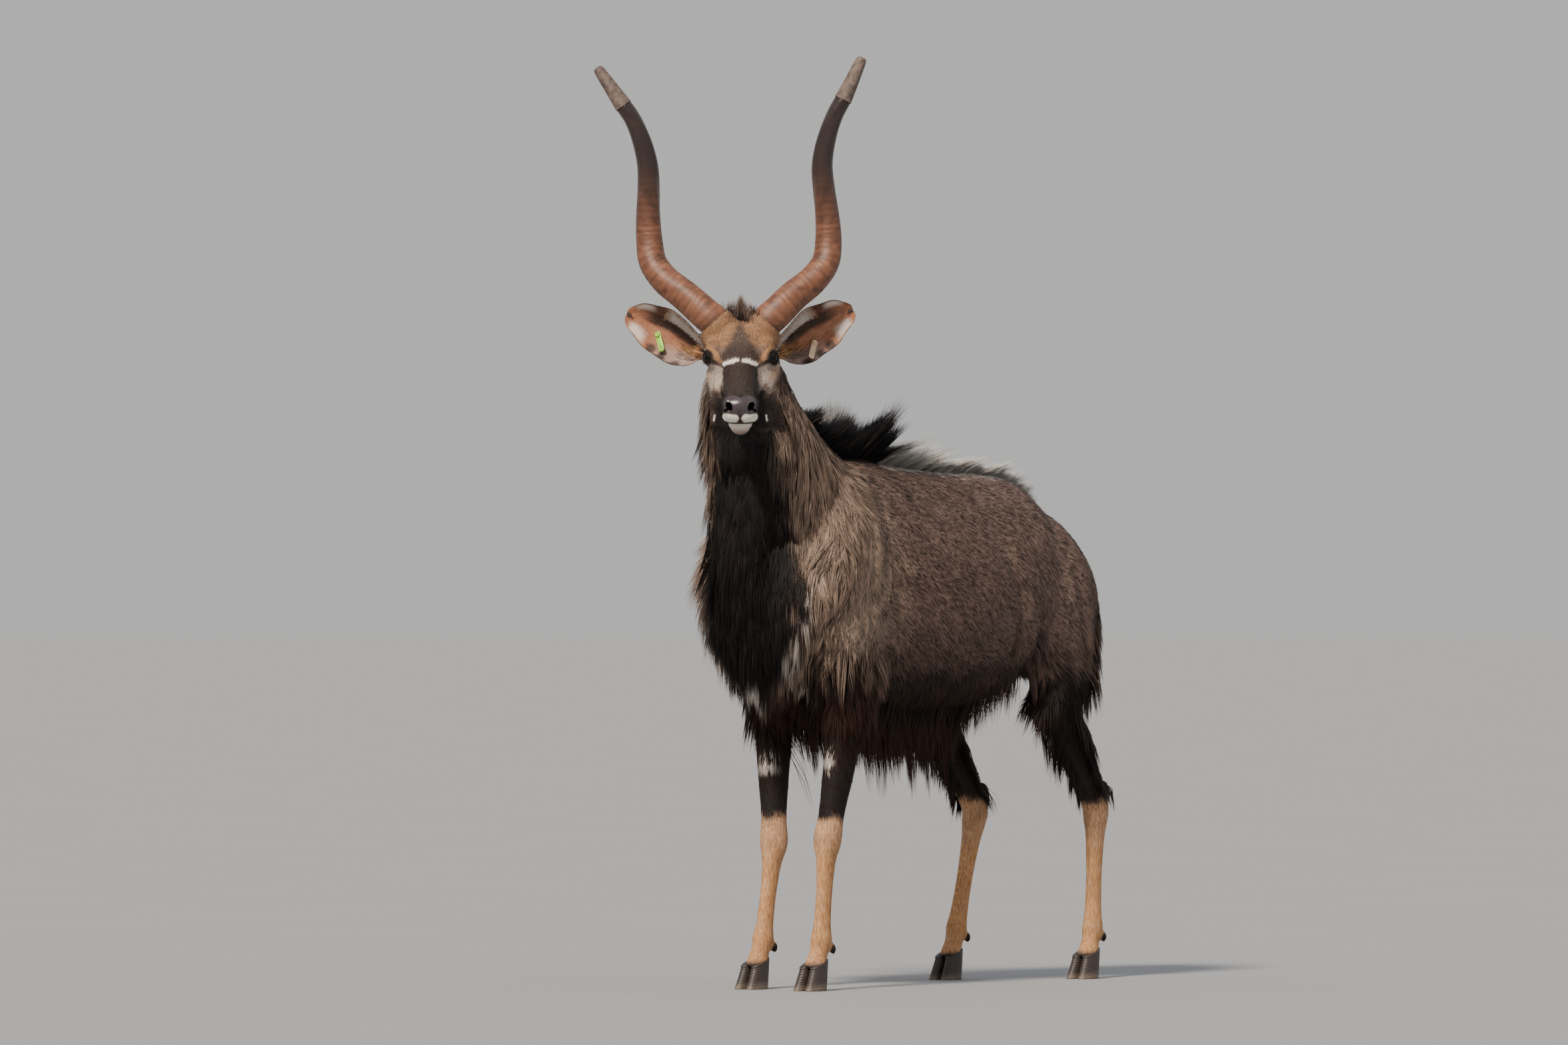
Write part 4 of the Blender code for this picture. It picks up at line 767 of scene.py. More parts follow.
def face_markings(points, head):
    """The markings of the face, as masks."""
    f, l, u = head_places(points)
    h = points[:, 2] - EYES_MIDDLE[2]
    side = np.abs(l)
    rough = ripple(points, 0.016, 3)
    front = ease(-0.045, -0.030, f + 0.25 * np.maximum(0, 0.05 - side))
    inner = np.interp(h, (0, 0.018, 0.050, 0.075), (0.044, 0.031, 0.016, 0.002)) + 0.002 * rough
    forehead = ease(inner - 0.013, inner + 0.013, side) * ease(0.012, 0.036, h + 0.003 * rough)
    forehead *= ease(-0.095, -0.080, f)
    brow = stroke(side, h, ((0.084, 0.020), (0.066, 0.021), (0.052, 0.008), (0.043, -0.008)), 0.0062) * front
    cheek_edge = ease(0.056, 0.068, side) * ease(-0.012, -0.022, h) * ease(-0.062, -0.040, h)
    cheek = ease(0.034, 0.0385, side + 0.0012 * rough) * ease(-0.006, -0.016, h)
    cheek *= ease(-0.080, -0.050, h + 0.006 * rough) * ease(-0.060, -0.030, f)
    furry = h + 0.0012 * ripple(points, 0.007, 9)
    bars = stroke(side, furry, ((0.0065, -0.0050), (0.018, -0.0072), (0.0335, -0.0128)), 0.0040)
    bars *= ease(-0.01, 0.0, f)
    lip = stroke(side, h + 0.0010 * rough, ((0.0115, -0.1268), (0.031, -0.1250)), 0.0080)
    lip *= ease(0.13, 0.14, f)
    chin_half = np.interp(h, (-0.162, -0.137), (0.014, 0.036))
    chin = ease(-0.1355, -0.138, h) * ease(0.10, 0.115, f)
    chin *= ease(chin_half + 0.003, chin_half - 0.003, side + 0.001 * rough)
    crescent = stroke(side, h, CRESCENT, 0.0016) * ease(-0.03, -0.01, f)
    ear_root = ease(-0.050, -0.062, f) * ease(-0.104, -0.094, f) * ease(-0.050, -0.036, u)
    ear_root *= ease(0.050, 0.058, side) * ease(0.040, 0.028, u)
    cheek_spots = spot(np.stack((f, side, u), -1), (-0.030, 0.05, -0.080), (0.008, 0.03, 0.007))
    median = ease(inner + 0.012, inner - 0.008, side) * ease(-0.100, -0.085, f)
    bridge = ease(0.0385, 0.034, side) * ease(-0.008, -0.016, h)
    muzzle = ease(-0.050, -0.080, h + 0.006 * rough) * ease(0.02, 0.06, f)
    lid_middles = [eye_centre(s) + eye_directions(s)[0] * 0.012 for s in (-1, 1)]
    lids = sum(spot(points, middle, (0.024, 0.024, 0.0175), 0.18) for middle in lid_middles)
    tear = stroke(side, h, ((0.058, -0.006), (0.045, -0.013), (0.037, -0.015)), 0.0042) * front
    lobes = np.hypot((side - 0.0165) / 0.0185, (h + 0.0985) / 0.0195)
    below = ease(0.016, 0.013, side) * ease(-0.121, -0.118, h) * ease(-0.083, -0.086, h)
    pad = np.maximum(ease(1.08, 0.92, lobes), below) * ease(0.13, 0.15, f)
    nostril = sum(spot(points, head_point(0.176, s * 0.0225, -0.050), 0.0125, 0.10) for s in (-1, 1))
    mouth = ease(0.0030, 0.0012, np.abs(u + 0.089)) * ease(0.09, 0.10, f)
    white_chin = 0.75 * chin * ease(-0.156, -0.144, h)
    white = np.maximum.reduce((bars, lip, crescent * 0.9, white_chin, cheek_spots * 0.6))
    median = median * (0.42 + 0.26 * ease(0.050, 0.012, h))
    dark = np.maximum.reduce((median, 0.22 * forehead, 0.84 * bridge, 0.96 * muzzle))
    wet = np.maximum(pad, nostril) * (1 - lip)
    black = np.maximum.reduce((lids, 0.9 * tear, mouth, nostril))
    forelock = spot(points, head_point(-0.062, 0, 0.072), (0.030, 0.030, 0.020), 0.4)
    tan = np.maximum.reduce((
        0.58 * forehead * (1 - 0.7 * forelock), 0.75 * brow * (1 - lids), 0.6 * cheek_edge * front,
        0.30 * chin * ease(-0.148, -0.160, h),
    ))
    cream = np.maximum.reduce((cheek * (1 - 0.55 * cheek_edge), 0.8 * ear_root, 0.8 * chin))
    bright = np.maximum.reduce((white, 0.9 * cream * (1 - muzzle), 0.9 * chin))
    masks = {
        "white": white * (1 - mouth) * (1 - nostril),
        "cream": cream * (1 - np.maximum(lids, tear)) * (1 - bars),
        "tan": tan * (1 - np.maximum(tear, white * (1 - chin))),
        "black": np.maximum(black, dark) * (1 - bright),
        "warm": 0.25 + 0 * l,
        "wet": wet,
    }
    return {name: mask * head for name, mask in masks.items()}


def leg_line(points, leg):
    """How far points are, across and ahead, from the middle line of a leg at their height."""
    joints = np.array(leg)
    rows = np.array([joints[k] for k in (3, 2, 1, 0)])
    centre = np.stack([np.interp(points[:, 2], rows[:, 2], rows[:, axis]) for axis in range(2)], -1)
    return points[:, :2] - centre


def in_mane(points, soft):
    """1 on the dark mane of throat and breast. It follows the turn of the head, and narrows upwards."""
    x, z = points[:, 0], points[:, 2]
    heights = (0.64, 0.70, 0.85, 0.95, 1.10, 1.20, 1.26)
    half = np.interp(z, heights, (0.100, 0.112, 0.110, 0.104, 0.064, 0.050, 0.040))
    off = np.abs(x - np.interp(z, (0.80, 1.05, 1.25), (0.0, 0.028, 0.024))) + 0.010 * ripple(points, 0.05, 4)
    return ease(half + soft, half - soft, off) * ease(0.61, 0.66, z)


def body_markings(points):
    """The markings of the body, as masks."""
    x, y, z = points.T
    rough = ripple(points, 0.05, 4)
    fine = ripple(points, 0.018, 6)
    fore, hind = ease(-0.10, -0.20, y), ease(0.10, 0.20, y)
    throat = ease(-0.46, -0.52, y + 0.016 * rough) * in_mane(points, 0.017)
    chest = ease(0.72, 0.66, z + 0.014 * rough) * ease(-0.30, -0.36, y)
    belly = ease(0.705, 0.635, z + 0.020 * rough)
    top = ease(0.056, 0.024, np.abs(x) + 0.010 * fine) * ease(1.02, 1.06, z - 0.12 * ease(-0.30, -0.40, y))
    dark_crest = top * ease(-0.120, -0.135, y)
    pale_crest = top * ease(-0.140, -0.125, y)
    tail = ease(0.535, 0.560, y) * ease(0.075, 0.055, np.abs(x))
    tail_under = tail * ease(0.588, 0.574, y)
    sock = fore * ease(0.372, 0.356, z + 0.007 * rough) + hind * ease(0.400, 0.375, z + 0.009 * rough)
    claw = ease(0.062, 0.050, z)
    for_dew = 0.0
    for _, leg in LEGS.values():
        for out in (-0.013, 0.013):
            for_dew = np.maximum(for_dew, spot(points, np.array(leg[2]) + (out, 0.027, -0.019), 0.0125, 0.15))
    forearm = ease(0.66, 0.60, z) * fore
    gaskin = ease(0.60, 0.48, z + 0.02 * rough) * hind * 0.75
    front_spots = np.maximum(
        spot(points, (0.099, -0.395, 0.486), (0.016, 0.03, 0.011), 0.5),
        spot(points, (-0.084, -0.364, 0.470), (0.021, 0.03, 0.011), 0.5),
    )
    chest_spot = spot(points, (-0.012, -0.535, 0.690), (0.034, 0.06, 0.030), 0.5)
    streak = stroke(x, z, ((0.128, 0.880), (0.110, 0.800), (0.085, 0.715), (0.072, 0.655)), 0.0075)
    streak *= ease(-0.36, -0.40, y) * ease(-0.5, 0.3, fine)
    lock = dark_crest * ease(0.015, 0.009, np.abs(y + 0.285)) * ease(0.006, -0.002, x)
    patches = (0.95 * front_spots, 0.85 * chest_spot, 0.55 * streak)
    white = np.maximum.reduce((*patches, pale_crest, lock, tail_under))
    black = np.maximum.reduce((throat, chest, 0.92 * belly, dark_crest, forearm, gaskin, 0.7 * tail))
    black = np.maximum(black * (1 - sock), np.maximum(claw, for_dew))
    # Painted sunlight: neck and shoulders take the light warm brown, which is partly their own colour and partly
    # stands in for sun on them.
    warm = ease(-0.16, -0.40, y + 0.03 * rough) * ease(1.30, 1.22, z) + 0.12 * hind + 0.12
    return {
        "white": white * (1 - sock),
        "cream": np.maximum(0.22 * ease(0.26, 0.32, z), 0.20 * ease(0.3, 1.0, fine)) * sock,
        "tan": sock * (1 - claw),
        "black": black * (1 - white),
        "warm": np.clip(warm, 0, 1),
        "wet": 0 * x,
    }


def markings(points):
    """The coat's masks: white, pale, tan, black, warm brown lightened with painted sunlight, bare and wet, and
    rusty at the tips.
    """
    head = on_head(points)
    face, body = face_markings(points, head), body_markings(points)
    masks = {name: face[name] + (1 - head) * body[name] for name in face}
    y, z = points[:, 1], points[:, 2]
    masks["rust"] = ease(0.74, 0.62, z) * ease(0.34, 0.40, z) * ease(0.42, 0.20, y) * (1 - head)
    return masks


# The way the hair lies.


def grain(points):
    """The way the coat runs in each region, before it is laid on the skin."""
    y, z = points[:, 1], points[:, 2]
    neck = ease(-0.24, -0.40, y)[:, None]
    down = np.maximum(ease(0.72, 0.60, z), ease(0.42, 0.50, y))[:, None]
    head = on_head(points)[:, None]
    way = np.array((0, 0.80, -0.60)) * (1 - neck) + np.array((0, -0.22, -1.0)) * neck
    way = way * (1 - down) - Z * down
    return unit(way * (1 - head) - FORWARD * head)


def lie(points, normals):
    """The way each hair lies on the skin, with a little chance sway."""
    way = grain(points)
    way = way + np.cross(normals, way) * (0.20 * ripple(points, 0.11, 8))[:, None]
    way = way - normals * (way * normals).sum(1)[:, None]
    return unit(way)


# Growing the coat.

# One tuft's patch on the unwrap, as a share of the sheet.
PATCH = 0.003


def scatter(hide, wanted, density):
    """Roots spread over the skin, as dense as asked for: places, normals and ways."""
    weights = hide["areas"] * np.maximum(density(hide["centres"], hide["facing"]), 0)
    chosen = draw.choice(len(weights), wanted, p=weights / weights.sum())
    a, b = draw.random((2, wanted))
    over = a + b > 1
    a, b = np.where(over, 1 - a, a), np.where(over, 1 - b, b)
    corners = hide["faces"][chosen]
    shares = np.stack((1 - a - b, a, b), -1)[:, :, None]
    places = (hide["points"][corners] * shares).sum(1)
    normals = unit((hide["normals"][corners] * shares).sum(1))
    return places, normals, lie(places, normals)


def clumped(places, size):
    """For each root, the nearest of a few roots that its tip leans towards."""
    leaders = draw.choice(len(places), max(2, int(len(places) / size)), replace=False)
    tree = KDTree(len(leaders))
    for k, leader in enumerate(leaders):
        tree.insert(places[leader], k)
    tree.balance()
    return leaders[[tree.find(place)[1] for place in places]]


def tufts(
    name, roots, normals, ways, ends, length, width, rings, uv,
    lift=0.3, pull=0.0, size=12, wave=0.0, sink=0.003, luck_spread=0.35, soft=0.55, vary=1.0,
):
    """Many closed, tapered tufts in one mesh. Ends are the ways their tips point.

    Pull leans tips to a leader in every so many tufts (size), and soft turns their shading to the skin's.
    """
    count = len(roots)
    length = np.broadcast_to(length, count)[:, None]
    width = np.broadcast_to(width, count)
    lift = np.broadcast_to(lift, count)[:, None]
    first = unit(ways * np.cos(lift) + normals * np.sin(lift))
    base = roots - normals * sink
    middle = base + first * length * 0.5
    tip = middle + unit(ends) * length * 0.5
    luck = draw.normal(0, 1, count)
    leaders = clumped(roots, size) if pull else np.arange(count)
    swing = draw.uniform(-1, 1, count)[leaders]
    if pull:
        tip = tip + (tip[leaders] - tip) * pull
        middle = middle + (middle[leaders] - middle) * (pull * 0.35)
        luck = luck_spread * luck + (1 - luck_spread) * luck[leaders] * 1.2
    side = unit(np.cross(normals, ways))
    corners = []
    for t in np.linspace(0, 1, rings + 1)[:-1]:
        centre = base * (1 - t) ** 2 + middle * (2 * t * (1 - t)) + tip * t**2
        centre = centre + side * (wave * swing * math.sin(math.pi * t * 1.5))[:, None]
        along = unit((middle - base) * (1 - t) + (tip - middle) * t)
        across = unit(np.cross(normals, along) + side * 0.02)
        out = np.cross(along, across)
        half = (width * (0.75 + 0.9 * t - 1.45 * t**2) * 0.5)[:, None]
        corners += [centre - across * half, centre + across * half, centre + out * half * 0.6]
    corners.append(tip + side * (wave * swing * -1.0)[:, None])
    points = np.stack(corners, 1)
    each = points.shape[1]
    faces = [(0, 2, 1)]
    for ring in range(rings - 1):
        for k in range(3):
            a, b = ring * 3 + k, ring * 3 + (k + 1) % 3
            faces += [(a, b, b + 3), (a, b + 3, a + 3)]
    last = (rings - 1) * 3
    faces += [(last + k, last + (k + 1) % 3, each - 1) for k in range(3)]
    faces = outward(points[0], np.array(faces), points[0, 0])
    whole = (faces[None] + np.arange(count)[:, None, None] * each).reshape(-1, 3)
    obj = piece_from(name, points.reshape(-1, 3), whole)
    along = np.append(np.repeat(np.arange(rings) / rings, 3), 1)
    mark(obj, along=np.tile(along, count), luck=luck * vary, **markings(roots))
    shaded = unit(read(obj, "normal") * (1 - soft) + np.repeat(normals, each, 0) * soft)
    obj.data.normals_split_custom_set_from_vertices(shaded.tolist())
    patch_u = np.append(np.tile((-0.5, 0.5, 0.0), rings), 0.0)
    patch_v = np.append((np.repeat(np.arange(rings), 3) + np.tile((0, 0, 0.25), rings)) / rings, 1.0) - 0.5
    sheet = uv[:, None] + np.stack((patch_u, patch_v), -1)[None] * PATCH
    layer = obj.data.uv_layers.new(name="OFBake")
    layer.data.foreach_set("uv", sheet.reshape(-1, 2)[whole.ravel()].astype(np.float32).ravel())
    return obj


def unrolled(offset, up, side, along, half=False):
    """Places on a sheet unrolled from round a line: how far round, then how far along, inside its edges."""
    angle = np.arctan2(offset @ side, offset @ up) / math.pi
    round_it = np.abs(angle) if half else (angle + 1) / 2
    return np.clip(np.stack((round_it, along), -1) * 0.98 + 0.01, 0.004, 0.996)


def trunk_sheet(points):
    offset = points - np.array((0, 0, 0.86))
    offset[:, 1] = 0
    return unrolled(offset, Z, X, (points[:, 1] + 0.72) / 1.42, True)


def neck_sheet(points):
    rows = np.array(NECK)[:, :3]
    across, ahead = (np.interp(points[:, 2], rows[:, 2], rows[:, axis]) for axis in range(2))
    offset = points - np.stack((across, ahead, points[:, 2]), -1)
    return unrolled(offset, -Y, X, (points[:, 2] - 0.55) / 0.90)


def head_sheet(points):
    f = head_places(points)[0]
    return unrolled(points - EYES_MIDDLE + ABOVE * 0.03, ABOVE, LEFTWARD, (f + 0.16) / 0.38)


def ridge_sheet(points):
    return np.clip(np.stack(((points[:, 0] + 0.12) / 0.24, (points[:, 1] + 0.62) / 1.25), -1), 0.004, 0.996)


def legs_sheet(points):
    """Each leg and the tail has a strip of its own."""
    sheet = np.zeros((len(points), 2))
    for k, (side, leg) in enumerate(LEGS.values()):
        mine = (points[:, 0] * side > 0) & ((points[:, 1] < 0) == (leg[0][1] < 0))
        across = leg_line(points[mine], leg)
        offset = np.column_stack((across, np.zeros(len(across))))
        strip = unrolled(offset, -Y, X, points[mine, 2] / 1.05)
        sheet[mine] = strip * (0.24, 1) + (k * 0.25 + 0.005, 0)
    return sheet


def tail_sheet(points):
    offset = points - np.array((0.004, 0.580, 0))
    offset[:, 2] = 0
    return unrolled(offset, Y, X, (points[:, 2] - 0.50) / 0.50)


# Materials.


def hex_colour(code):
    """A colour given as sRGB hex, in linear light."""
    shares = [int(code[k : k + 2], 16) / 255 for k in (1, 3, 5)]
    return (*(s / 12.92 if s <= 0.04045 else ((s + 0.055) / 1.055) ** 2.4 for s in shares), 1.0)


def add_node(tree, kind, out, inputs=None, **settings):
    """Adds a node with its settings and links, and gives one of its outputs. Colours may be given as hex."""
    node = tree.nodes.new("ShaderNode" + kind)
    for name, value in settings.items():
        setattr(node, name, value)
    for key, value in (inputs or {}).items():
        if isinstance(value, bpy.types.NodeSocket):
            tree.links.new(value, node.inputs[key])
        else:
            node.inputs[key].default_value = hex_colour(value) if isinstance(value, str) else value
    return node.outputs[out]


def new_material(name, **sockets):
    """A material with its shader's plain numbers set, and what adds nodes to it."""
    made = bpy.data.materials.new(name)
    made.use_nodes = True
    for socket, value in sockets.items():
        made.node_tree.nodes["Principled BSDF"].inputs[socket].default_value = value
    return made, partial(add_node, made.node_tree)


def laid_over(add, share, layers):
    """Colours over one another, by masks that the mesh keeps. Each runs from dark to light by the share."""
    colour = None
    for mask, dark, light in layers:
        shade = add("Mix", 2, {0: share, 6: dark, 7: light}, data_type="RGBA")
        if colour is not None:
            cover = add("Attribute", "Fac", attribute_name=mask)
            shade = add("Mix", 2, {0: cover, 6: colour, 7: shade}, data_type="RGBA")
        colour = shade
    return colour


def surfaced(made, colour, rough=None, relief=None, strength=0.3, depth=0.0004):
    """Joins a material's colour, roughness and fine relief, this deep in metres, to its shader."""
    tree = made.node_tree
    shader = tree.nodes["Principled BSDF"]
    tree.links.new(colour, shader.inputs["Base Color"])
    if rough is not None:
        tree.links.new(rough, shader.inputs["Roughness"])
    if relief is not None:
        bump = add_node(tree, "Bump", 0, {"Height": relief, "Strength": strength, "Distance": depth})
        tree.links.new(bump, shader.inputs["Normal"])
    return made


# The animal's hair: mask, dark and light hairs.
COAT_SHADES = (
    ("slate", "#1d1412", "#7e6258"),
    # The warm brown is lighter than the coat's own colour, as painted sunlight where it lies thickest, on neck
    # and shoulders.
    ("warm", "#3a2a23", "#c4a893"),
    ("tan", "#8a5730", "#e8b47e"),
    ("cream", "#8a7467", "#dccbbd"),
    ("black", "#050303", "#1e1411"),
    ("white", "#dbd1c4", "#fdf8f0"),
)


def hide_material():
    """Thin skin closely set with hair. It looks dull and streaked along the lie, and only the nose is wet."""
    made, add = new_material("haired_hide", IOR=1.4)
    place = add("TexCoord", "Object")
    flow = add("Attribute", "Vector", attribute_name="flow")
    wet, pit = (add("Attribute", "Fac", attribute_name=name) for name in ("wet", "pit"))
    # Hairs are 0.1 mm thick, too fine to show, so streaks stand for tufts of 2.5 mm.
    streaks = add("TexNoise", "Fac", {"Vector": flow, "Scale": 1000 / 2.5, "Detail": 3.0})
    mottle = add("TexNoise", "Fac", {"Vector": place, "Scale": 1000 / 60, "Detail": 3.0})
    share = add("Math", 0, {0: mottle, 1: 0.35, 2: -0.52}, operation="MULTIPLY_ADD")
    share = add("Math", 0, {0: streaks, 1: 1.5, 2: share}, operation="MULTIPLY_ADD", use_clamp=True)
    # The nose pad is set with grains of skin about 2 mm across.
    grains = add("TexVoronoi", "Distance", {"Vector": place, "Scale": 1000 / 2.0})
    bare_skin = add("Mix", 2, {0: grains, 6: "#4a4146", 7: "#352e32"}, data_type="RGBA")
    colour = add("Mix", 2, {0: wet, 6: laid_over(add, share, COAT_SHADES), 7: bare_skin}, data_type="RGBA")
    # Painted shade: the hollows of the nostrils are darkened nearly to black.
    pit = add("Math", 0, {0: pit, 1: 0.97}, operation="MULTIPLY")
    colour = add("Mix", 2, {0: pit, 6: colour, 7: "#060404"}, data_type="RGBA")
    rough = add("MapRange", 0, {0: wet, 3: 0.75, 4: 0.27})
    grains = add("Math", 0, {0: grains, 1: -0.14}, operation="MULTIPLY")
    return surfaced(made, colour, rough, add("Mix", 0, {0: wet, 2: streaks, 3: grains}), 0.5, 0.0012)


def hair_material():
    """Guard hair in tufts. Keratin gives a soft gloss along each tuft, and tips are paler than roots. Roots are
    darkened further by painted shade, as if from the hair lying over them.
    """
    made, add = new_material("guard_hair", Roughness=0.72, IOR=1.38)
    along, luck, rust = (add("Attribute", "Fac", attribute_name=name) for name in ("along", "luck", "rust"))
    mottle = add("TexNoise", "Fac", {"Vector": add("TexCoord", "Object"), "Scale": 1000 / 60, "Detail": 3.0})
    share = add("Math", 0, {0: mottle, 1: 0.3, 2: 0.03}, operation="MULTIPLY_ADD")
    share = add("Math", 0, {0: luck, 1: 0.27, 2: share}, operation="MULTIPLY_ADD")
    share = add("Math", 0, {0: along, 1: 0.38, 2: share}, operation="MULTIPLY_ADD", use_clamp=True)
    rusty = add("Math", 0, {0: along, 1: 1.6}, operation="POWER")
    rusty = add("Math", 0, {0: rust, 1: rusty}, operation="MULTIPLY")
    rusty = add("Math", 0, {0: rusty, 1: 0.50}, operation="MULTIPLY")
    colour = add("Mix", 2, {0: rusty, 6: laid_over(add, share, COAT_SHADES), 7: "#5e3220"}, data_type="RGBA")
    # Painted shade: each tuft is darkened towards its root, where the hair over it would shade it.
    shade = add("MapRange", 0, {0: along, 3: 0.55, 4: 1.0})
    colour = add("Mix", 2, {0: 1.0, 6: colour, 7: shade}, data_type="RGBA", blend_type="MULTIPLY")
    return surfaced(made, colour)


def horn_material():
    """Keratin sheath, ribbed and dull red-brown below, worn black and glossy above."""
    made, add = new_material("ribbed_horn", IOR=1.54)
    lengthways = add("Attribute", "Vector", attribute_name="grain")
    old, groove = (add("Attribute", "Fac", attribute_name=name) for name in ("polish", "groove"))
    # Growth lines lie about 2.4 mm apart, and wander round the horn.
    winding = {"Distortion": 3.5, "Detail": 3.0, "Detail Scale": 1.6}
    bands = {"Vector": lengthways, "Scale": 1000 / 2.4 / 20, **winding}
    lines = add("TexWave", "Fac", bands, bands_direction="Z")
    fibre = add("Mapping", 0, {"Vector": lengthways, "Scale": (1, 1, 0.12)})
    fibres = add("TexNoise", "Fac", {"Vector": fibre, "Scale": 1000 / 1.8, "Detail": 3.0})
    clouds = add("TexNoise", "Fac", {"Vector": lengthways, "Scale": 1000 / 26, "Detail": 4.0})
    low = add("MapRange", 0, {0: clouds, 1: 0.32, 2: 0.68})
    low = add("Mix", 2, {0: low, 6: "#55321f", 7: "#955f42"}, data_type="RGBA")
    faint = add("Math", 0, {0: lines, 1: 0.30}, operation="MULTIPLY")
    low = add("Mix", 2, {0: faint, 6: low, 7: "#3a2015"}, data_type="RGBA")
    high = add("Mix", 2, {0: clouds, 6: "#120d0c", 7: "#3a2b28"}, data_type="RGBA")
    share = add("Math", 0, {0: clouds, 1: 0.5, 2: -0.25}, operation="MULTIPLY_ADD")
    share = add("Math", 0, {0: old, 1: share}, operation="ADD", use_clamp=True)
    colour = add("Mix", 2, {0: share, 6: low, 7: high}, data_type="RGBA")
    # Painted shade: the grooves between the ribs are darkened by how deep they are.
    groove = add("Math", 0, {0: groove, 1: 0.32}, operation="MULTIPLY")
    colour = add("Mix", 2, {0: groove, 6: colour, 7: "#2a1810"}, data_type="RGBA")
    rough = add("MapRange", 0, {0: old, 3: 0.52, 4: 0.28})
    relief = add("Math", 0, {0: lines, 1: 0.5, 2: fibres}, operation="MULTIPLY_ADD")
    return surfaced(made, colour, rough, relief, 0.35, 0.0008)


def cap_material():
    """Flexible hose, cut and pushed on. It has gone dull and mottled with dried mud."""
    made, add = new_material("weathered_hose", IOR=1.52)
    place = add("TexCoord", "Object")
    mud = add("TexNoise", "Fac", {"Vector": place, "Scale": 1000 / 14, "Detail": 6.0, "Roughness": 0.7})
    grit = add("TexNoise", "Fac", {"Vector": place, "Scale": 1000 / 1.6, "Detail": 2.0})
    share = add("MapRange", 0, {0: mud, 1: 0.38, 2: 0.64})
    colour = add("Mix", 2, {0: share, 6: "#4a3e3a", 7: "#7d6a5f"}, data_type="RGBA")
    rough = add("MapRange", 0, {0: mud, 1: 0.3, 2: 0.7, 3: 0.55, 4: 0.85})
    grit = add("Math", 0, {0: grit, 1: 0.3}, operation="MULTIPLY")
    return surfaced(made, colour, rough, add("Math", 0, {0: mud, 1: grit}, operation="ADD"), 0.5, 0.0012)


# An ear's skin and short hair: mask, dark and light shade.
EAR_SHADES = (
    ("outside", "#2e211c", "#6a5448"),
    ("inside", "#824a32", "#cb9070"),
    ("shadow", "#20110c", "#563628"),
    ("pink", "#84695f", "#bb9f93"),
    ("white", "#c8b8ac", "#f4ece4"),
    ("black", "#120d0c", "#34282a"),
)


def ear_material():
    """Thin ear skin, orange and veined inside, with short dark hair outside and at the rim."""
    made, add = new_material("ear_skin", Roughness=0.6, IOR=1.45)
    clouds = add("TexNoise", "Fac", {"Vector": add("TexCoord", "Object"), "Scale": 1000 / 22, "Detail": 4.0})
    # Fine hairs inside lie about 1.5 mm apart, and are drawn a little coarser, fanned from the ear's root.
    lengthways = add("Attribute", "Vector", attribute_name="grain")
    fans = add("TexNoise", "Fac", {"Vector": lengthways, "Scale": 1000 / 2.4, "Detail": 3.0})
    share = add("Math", 0, {0: clouds, 1: 0.9, 2: -0.42}, operation="MULTIPLY_ADD")
    share = add("Math", 0, {0: fans, 1: 0.8, 2: share}, operation="MULTIPLY_ADD", use_clamp=True)
    return surfaced(made, laid_over(add, share, EAR_SHADES), None, fans, 0.45, 0.0012)


def eye_material():
    """A wet eye. The clear cornea mirrors the room over a nearly black iris."""
    made, add = new_material("wet_eye", Roughness=0.06, IOR=1.30)
    rays = add("Attribute", "Vector", attribute_name="rays")
    threads = add("TexNoise", "Fac", {"Vector": rays, "Scale": 6.0, "Detail": 4.0})
    layers = ("iris", "#0d0604", "#35190d"), ("pupil", "#020203", "#020203"), ("rim", "#0d0706", "#0d0706")
    return surfaced(made, laid_over(add, threads, layers))


# Plain stuffs, each with a fine pattern: roughness, IOR, pattern size in mm and its detail, dark and light
# shade, strength and depth of its relief.
PLAIN_STUFFS = {
    # Moulded polyurethane, satin and a little scuffed.
    "moulded_cream_plastic": (0.38, 1.5, 5, 5.0, "#d8b98f", "#fbe3c3", 0.15, 0.0004),
    "moulded_lime_plastic": (0.38, 1.5, 5, 5.0, "#7fb52f", "#a5dc50", 0.15, 0.0004),
    # The hairless edge of the eyelids, black and moist.
    "eyelid_edge": (0.52, 1.35, 1.5, 2.0, "#070505", "#181213", 0.3, 0.0004),
    # A pale floor painted matt, the same all over.
    "painted_floor": (0.85, 1.5, 500, 2.0, "#97989a", "#9b9c9e", 0.0, 0.0),
}


def plain_material(name):
    rough, ior, size, detail, dark, light, strength, depth = PLAIN_STUFFS[name]
    made, add = new_material(name, Roughness=rough, IOR=ior)
    place = add("TexCoord", "Object")
    flecks = add("TexNoise", "Fac", {"Vector": place, "Scale": 1000 / size, "Detail": detail})
    colour = add("Mix", 2, {0: flecks, 6: dark, 7: light}, data_type="RGBA")
    return surfaced(made, colour, None, flecks if strength else None, strength, depth)


def hoof_material():
    """Hoof horn, grown in rings and worn dull and dusty at the edge."""
    made, add = new_material("hoof_horn", IOR=1.54)
    place = add("TexCoord", "Object")
    upright = add("Mapping", 0, {"Vector": place, "Scale": (1, 1, 0.15)})
    fibres = add("TexNoise", "Fac", {"Vector": upright, "Scale": 1000 / 1.5, "Detail": 3.0})
    dust = add("TexNoise", "Fac", {"Vector": place, "Scale": 1000 / 12, "Detail": 5.0})
    worn = add("Attribute", "Fac", attribute_name="worn")
    worn = add("Math", 0, {0: worn, 1: dust}, operation="MULTIPLY")
    colour = add("Mix", 2, {0: fibres, 6: "#1c1614", 7: "#453934"}, data_type="RGBA")
    colour = add("Mix", 2, {0: worn, 6: colour, 7: "#8d7b68"}, data_type="RGBA")
    return surfaced(made, colour, add("MapRange", 0, {0: dust, 3: 0.38, 4: 0.68}), fibres, 0.3, 0.0006)


# The coat, piece by piece.

